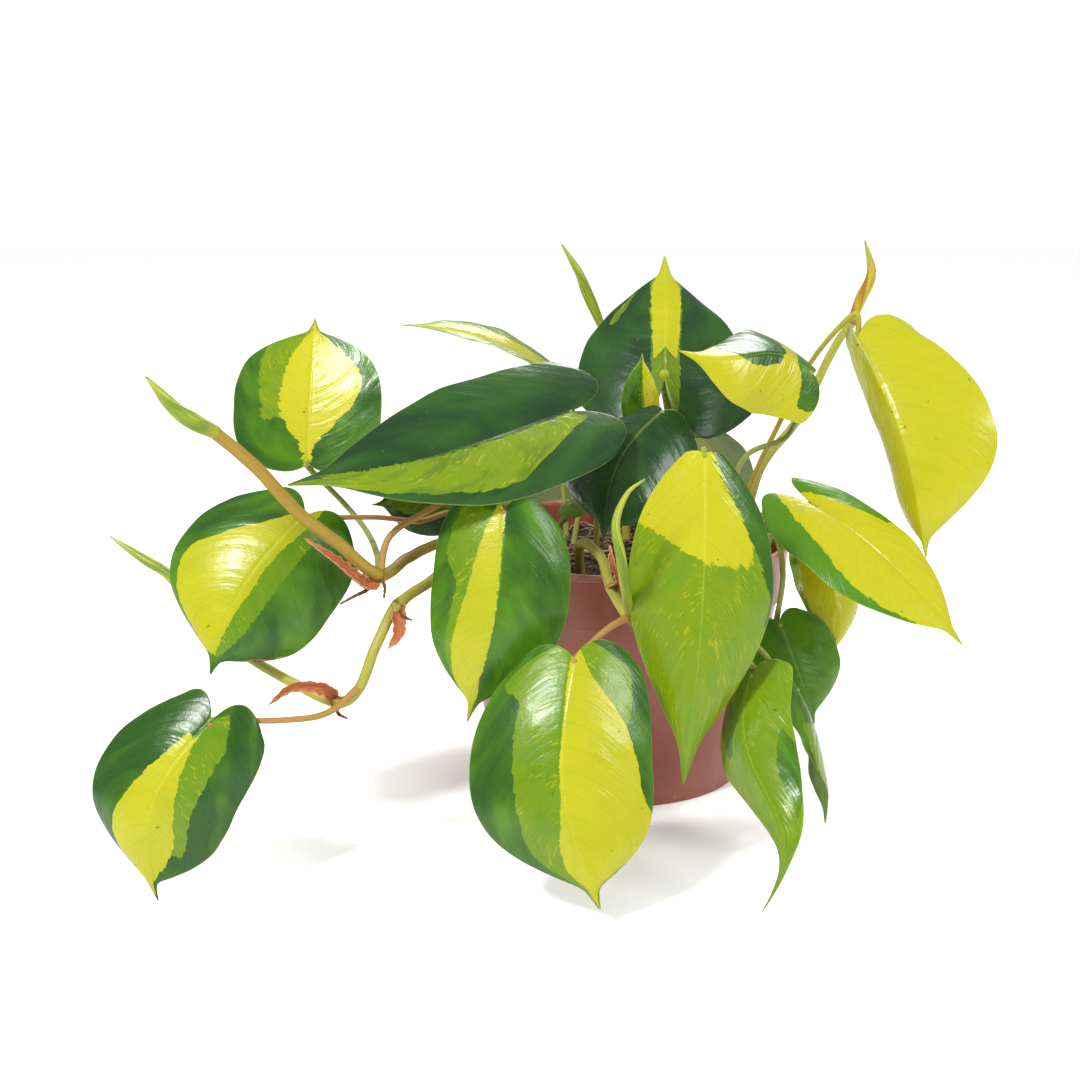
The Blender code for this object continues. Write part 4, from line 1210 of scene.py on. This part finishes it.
def pot_material():
    """Moulded plastic: faint flow marks down the wall, dust, dried splashes and fine pores, with a painted
    highlight along the lip and painted shade that darkens the wall towards the foot.
    """
    name = "terracotta plastic"
    material, tree, shader = new_material(name, 0.42, specular=0.5, coat=0.05, coat_roughness=0.3)
    spot = place_of(tree)
    x, y, z = (wired("ShaderNodeSeparateXYZ", {0: spot}, axis) for axis in range(3))
    flow = noise(vector_of(x, y, z * 0.08), 190.0, 3.0, 0.6)
    clouds = noise(spot, 38.0, 4.0, 0.6)
    # painted highlight: a lighter pink along the top of the lip, broken up by noise
    lip_highlight = ramp(z, 0.0828, 0.0846) * ramp(noise(spot, 260.0, 3.0), 0.35, 0.65, 0.25, 0.75)
    dust = ramp(noise(spot, 75.0, 5.0, 0.7), 0.52, 0.74) * 0.22
    splash = ramp(noise(spot, 520.0), 0.70, 0.74) * 0.5
    pale = ramp(noise(spot, 330.0, 1.0), 0.735, 0.76) * 0.45
    colour = blend(ramp(clouds, 0.3, 0.7), (0.250, 0.055, 0.032), (0.205, 0.045, 0.027))
    # painted shade: the wall is darker towards the foot
    colour = blend(ramp(z, 0.0, 0.060, 0.42, 0.0), colour, (0.150, 0.038, 0.025))
    colour = blend(ramp(flow, 0.45, 0.75) * 0.16, colour, (0.33, 0.120, 0.085))
    # painted highlight along the lip
    colour = blend(lip_highlight, colour, (0.50, 0.235, 0.185))
    colour = blend(dust, colour, (0.36, 0.215, 0.165))
    colour = blend(splash, colour, (0.06, 0.028, 0.02))
    colour = blend(pale, colour, (0.50, 0.34, 0.27))
    rough = (dust * 0.9 + clouds * 0.16 + 0.32).clamped()
    pores = noise(spot, 2600.0, 2.0, 0.6)
    return finished(material, shader, colour, rough, flow * 0.5 + pores * 0.22, 0.10 * MM)


# ---------------------------------------------------------------- soil

SOIL_SEED = 7
SOIL_STEPS = 180
SOIL_ROWS = 69
CHIP_AROUND = 8
FIBRE_AROUND = 5
FIBRE_STEPS = 9


def soil_height(x, y):
    """Lumps of three sizes above the soil's level: sums of crossed sines, in metres."""
    a, b = x / MM, y / MM
    return MM * (
        0.7 * np.sin(0.21 * a + 0.6) * np.cos(0.19 * b + 0.4) + 0.42 * np.sin(0.53 * a + 0.31 * b)
        + 0.34 * np.cos(0.47 * b - 0.62 * a + 1.1) + 0.2 * np.sin(1.3 * a + 0.4) * np.sin(1.1 * b + 1.9)
        + 0.14 * np.sin(2.7 * a + 1.7 * b) * np.cos(2.2 * b - 1.3 * a)
    )


def make_soil(material):
    """The root ball: a turned profile whose top rings rise and fall with soil_height()."""
    bottom = FLOOR_THICKNESS + SOIL_GAP
    top_radii = np.linspace(0.0, SOIL_RADIUS, SOIL_ROWS + 1)[1:]
    side = np.array([
        (SOIL_RADIUS, BAND_BOTTOM), (body_radius(bottom) - WALL - SOIL_GAP, bottom), (20 * MM, bottom),
    ])
    radii = np.concatenate([top_radii, side[:, 0]])[:, None]
    heights = np.concatenate([np.full(SOIL_ROWS, SOIL_TOP), side[:, 1]])[:, None]
    angle = turns(SOIL_STEPS)
    x, y = radii * np.cos(angle), radii * np.sin(angle)
    on_top = (np.arange(len(radii)) < SOIL_ROWS)[:, None]
    rings = np.stack([x, y, heights + on_top * soil_height(x, y)], axis=2)
    poles = [(0.0, 0.0, SOIL_TOP + soil_height(0.0, 0.0)), (0.0, 0.0, bottom)]
    points = np.concatenate([rings.reshape(-1, 3), poles])
    piece("root_ball", points, tube_faces(len(radii), SOIL_STEPS), material, ["potting_soil"])


def scattered(rng, count, reach):
    """Places spread evenly over a disc."""
    radius = reach * np.sqrt(rng.random(count))
    angle = 2 * math.pi * rng.random(count)
    return radius * np.cos(angle), radius * np.sin(angle)


def random_turns(rng, count, tilt):
    """Rotation matrices: any turn about Z, then a tilt of up to tilt radians about a level axis."""
    spin = rng.random(count) * 2 * math.pi
    lean = rng.normal(0, tilt, (count, 2))
    c, s = np.cos(spin), np.sin(spin)
    x_axis = unit(np.stack([c, s, lean[:, 0]], axis=1))
    level_x = -lean[:, 0] * c + lean[:, 1] * s
    level_y = -lean[:, 0] * s - lean[:, 1] * c
    z_axis = np.stack([level_x, level_y, np.ones(count)], axis=1)
    z_axis = unit(z_axis - x_axis * np.einsum("ij,ij->i", x_axis, z_axis)[:, None])
    return np.stack([x_axis, np.cross(z_axis, x_axis), z_axis], axis=2)


def strewn(name, rng, solids, faces, material, sharp=None):
    """One piece of many small closed solids, an array of solids x points x 3. Each has a tone of its own."""
    count, size = solids.shape[:2]
    step = (np.arange(count) * size)[:, None, None]
    faces = [(block[None] + step).reshape(-1, block.shape[1]) for block in faces]
    fields = {"tone": np.repeat(rng.random(count), size)}
    piece(name, solids.reshape(-1, 3), faces, material, fields=fields, sharp=sharp)


def make_chips(name, rng, count, sizes, tilt, lift, material):
    """Bark chips: a bevelled block of 3 rings of 8 points, every point moved a little, set on the soil."""
    angle = turns(CHIP_AROUND)
    level = np.array([-0.5, 0.0, 0.5])
    girth = np.array([0.72, 1.0, 0.78])
    ring = np.stack([
        np.outer(girth, np.cos(angle)),
        np.outer(girth, np.sin(angle)),
        np.repeat(level[:, None], CHIP_AROUND, 1),
    ], axis=2).reshape(-1, 3)
    shape = np.concatenate([ring, [[0, 0, -0.55], [0, 0, 0.55]]])
    size = np.stack([rng.uniform(*span, count) for span in sizes], axis=1)
    local = shape[None] * (1 + rng.normal(0, 0.16, (count, len(shape), 3))) * size[:, None, :] * MM / 2
    world = np.einsum("nij,nkj->nki", random_turns(rng, count, tilt), local)
    x, y = scattered(rng, count, SOIL_RADIUS - 3.2 * MM)
    place = np.stack([x, y, SOIL_TOP + soil_height(x, y) + lift * MM], axis=1)
    strewn(name, rng, world + place[:, None, :], tube_faces(3, CHIP_AROUND), material, sharp=35)


def make_fibres(name, rng, count, length, radius, material):
    """Root and coir threads: thin five-sided tubes along curves that wander over the soil."""
    x, y = scattered(rng, count, SOIL_RADIUS - 9 * MM)
    heading = rng.random(count) * 2 * math.pi
    bend = rng.normal(0, 1.4, count)
    t = np.linspace(-0.5, 0.5, FIBRE_STEPS)
    reach = rng.uniform(*length, count)[:, None] * MM
    angle = heading[:, None] + bend[:, None] * t
    px = x[:, None] + np.cumsum(np.cos(angle) * reach / FIBRE_STEPS, axis=1)
    py = y[:, None] + np.cumsum(np.sin(angle) * reach / FIBRE_STEPS, axis=1)
    pull = np.minimum(1.0, (SOIL_RADIUS - 1.5 * MM) / np.maximum(np.hypot(px, py), 1e-9))
    px, py = px * pull, py * pull
    rise = rng.uniform(0.2, 2.0, count)[:, None] * np.cos(math.pi * t) * MM
    path = np.stack([px, py, SOIL_TOP + soil_height(px, py) + rise + 0.1 * MM], axis=2)
    ahead = unit(np.gradient(path, axis=1))
    side = unit(np.cross(ahead, (0.0, 0.0, 1.0)))
    up = np.cross(side, ahead)
    turn = turns(FIBRE_AROUND)[:, None]
    size = radius * MM * rng.uniform(0.6, 1.4, count)[:, None] * (1 - 0.5 * np.abs(t * 2) ** 3)
    spokes = side[:, :, None, :] * np.cos(turn) + up[:, :, None, :] * np.sin(turn)
    rings = path[:, :, None, :] + size[:, :, None, None] * spokes
    solids = np.concatenate([rings.reshape(count, -1, 3), path[:, :1], path[:, -1:]], axis=1)
    strewn(name, rng, solids, tube_faces(FIBRE_STEPS, FIBRE_AROUND), material)


def soil_material(name, dark, brown, pale, share):
    """Crumbs: dark, brown and pale tones picked by each chip's tone and by noise."""
    material, tree, shader = new_material(name, 0.9)
    spot = place_of(tree)
    coarse = noise(spot, 420.0, 4.0, 0.7)
    mixed = coarse * 0.7 + fields_of(tree, "tone")[0] * 0.6
    colour = blend(ramp(mixed, 0.3, 0.72), dark, brown)
    colour = blend(ramp(mixed, share, share + 0.12) * 0.8, colour, pale)
    rough = (coarse * 0.3 + 0.65).clamped()
    return finished(material, shader, colour, rough, noise(spot, 1700.0, 3.0, 0.7) * 0.5 + coarse, 0.6 * MM)


def make_ground(rng):
    earth = soil_material("potting soil", (0.012, 0.008, 0.007), (0.05, 0.03, 0.022), (0.14, 0.09, 0.06), 0.6)
    make_soil(earth)
    bark = soil_material("bark chips", (0.030, 0.016, 0.011), (0.105, 0.058, 0.036), (0.26, 0.18, 0.13), 0.86)
    coir = soil_material("coir threads", (0.10, 0.05, 0.028), (0.24, 0.145, 0.085), (0.42, 0.31, 0.21), 0.80)
    grit = soil_material("pale grit", (0.28, 0.24, 0.20), (0.45, 0.40, 0.35), (0.6, 0.56, 0.5), 0.8)
    make_chips("soil_bark_large", rng, 150, ((3, 7), (2, 4), (0.9, 2.0)), 0.35, 0.35, bark)
    make_chips("soil_bark_small", rng, 700, ((1.0, 2.6), (0.8, 1.8), (0.5, 1.1)), 0.6, 0.25, bark)
    make_chips("soil_grit", rng, 60, ((0.7, 1.5), (0.7, 1.4), (0.6, 1.2)), 0.8, 0.3, grit)
    make_fibres("soil_coir", rng, 420, (6, 16), 0.14, coir)
    make_fibres("soil_roots", rng, 40, (14, 30), 0.38, coir)


# ---------------------------------------------------------------- stage, light and camera

FLOOR_REACH = 3.0
WORLD_STRENGTH = 1.04
MIRRORED_WORLD_STRENGTH = 0.40
# Name, place, aim, size and watts
LIGHTS = (
    ("key", (-0.60, -0.70, 0.95), (-0.02, -0.03, 0.09), 0.20, 15.0),
    ("fill", (0.8, -0.5, 0.6), (0.0, 0.0, 0.09), 0.35, 5.0),
    ("back", (0.2, 0.9, 0.9), (0.0, 0.0, 0.1), 0.5, 6.0),
)
CAMERA_PLACE = (-0.028, -0.560, 0.219)
CAMERA_TILT_DOWN = 13.7
SENSOR_WIDTH = 36.0
LENS_OVER_SENSOR = 1630.0 / 1080.0


def make_stage():
    """A plain pale floor under soft studio light."""
    mesh = bpy.data.meshes.new("studio_floor")
    corners = [(x * FLOOR_REACH, y * FLOOR_REACH, 0) for x, y in ((-1, -1), (1, -1), (1, 1), (-1, 1))]
    mesh.from_pydata(corners, [], [(0, 1, 2, 3)])
    floor = bpy.data.objects.new("studio_floor", mesh)
    bpy.context.scene.collection.objects.link(floor)
    material = bpy.data.materials.new("studio floor")
    material.use_nodes = True
    shader = material.node_tree.nodes["Principled BSDF"]
    shader.inputs["Base Color"].default_value = (0.98, 0.98, 0.98, 1.0)
    shader.inputs["Roughness"].default_value = 0.9
    mesh.materials.append(material)


def add_area_light(name, place, aim, size, watts):
    data = bpy.data.lights.new(name, "AREA")
    data.shape = "DISK"
    data.size = size
    data.energy = watts
    light = bpy.data.objects.new(name, data)
    bpy.context.scene.collection.objects.link(light)
    light.location = place
    heading = unit(np.array(aim) - np.array(place))
    yaw = math.atan2(heading[0], -heading[1])
    pitch = math.acos(-heading[2])
    light.rotation_euler = (pitch, 0.0, yaw + math.pi)


def make_light():
    """A white world that is dimmer where it is mirrored, and three soft lamps."""
    scene = bpy.context.scene
    world = bpy.data.worlds.new("studio")
    scene.world = world
    world.use_nodes = True
    tree = world.node_tree
    mirrored = Wire(tree, new_node(tree, "ShaderNodeLightPath").outputs["Is Glossy Ray"])
    background = tree.nodes["Background"]
    background.inputs["Color"].default_value = (1.0, 1.0, 1.0, 1.0)
    strength = ramp(mirrored, 0.0, 1.0, WORLD_STRENGTH, MIRRORED_WORLD_STRENGTH, "LINEAR")
    feed(background.inputs["Strength"], strength)
    scene.view_settings.view_transform = "Standard"
    for light in LIGHTS:
        add_area_light(*light)


def make_camera():
    data = bpy.data.cameras.new("camera")
    data.sensor_width = SENSOR_WIDTH
    data.lens = LENS_OVER_SENSOR * SENSOR_WIDTH
    data.clip_start = 0.01
    camera = bpy.data.objects.new("camera", data)
    camera.location = CAMERA_PLACE
    camera.rotation_euler = (math.radians(90.0 - CAMERA_TILT_DOWN), 0.0, 0.0)
    bpy.context.scene.collection.objects.link(camera)
    bpy.context.scene.camera = camera


# ---------------------------------------------------------------- assembly


def make_plant():
    materials = {**leaf_materials(), **stem_materials()}
    stems = {item["name"]: item for item in VINES}
    for item in VINES:
        make_vine(item, stems, materials)
    for item in ROLLED_LEAVES:
        make_rolled_leaf(item, stems, materials)
    for item in SHEATHS:
        make_sheath(item, stems, materials)
    for name, route, radius in AIR_ROOTS:
        make_air_root(name, route, radius, materials)
    for index, item in enumerate(LEAVES):
        item["seed"] = (index * 0.618) % 1.0
        make_blade(item, PATTERNS[item["name"]], materials)
        make_petiole(item, stems, materials)


make_camera()
make_light()
make_stage()
make_pot(pot_material())
make_ground(np.random.default_rng(SOIL_SEED))
make_plant()
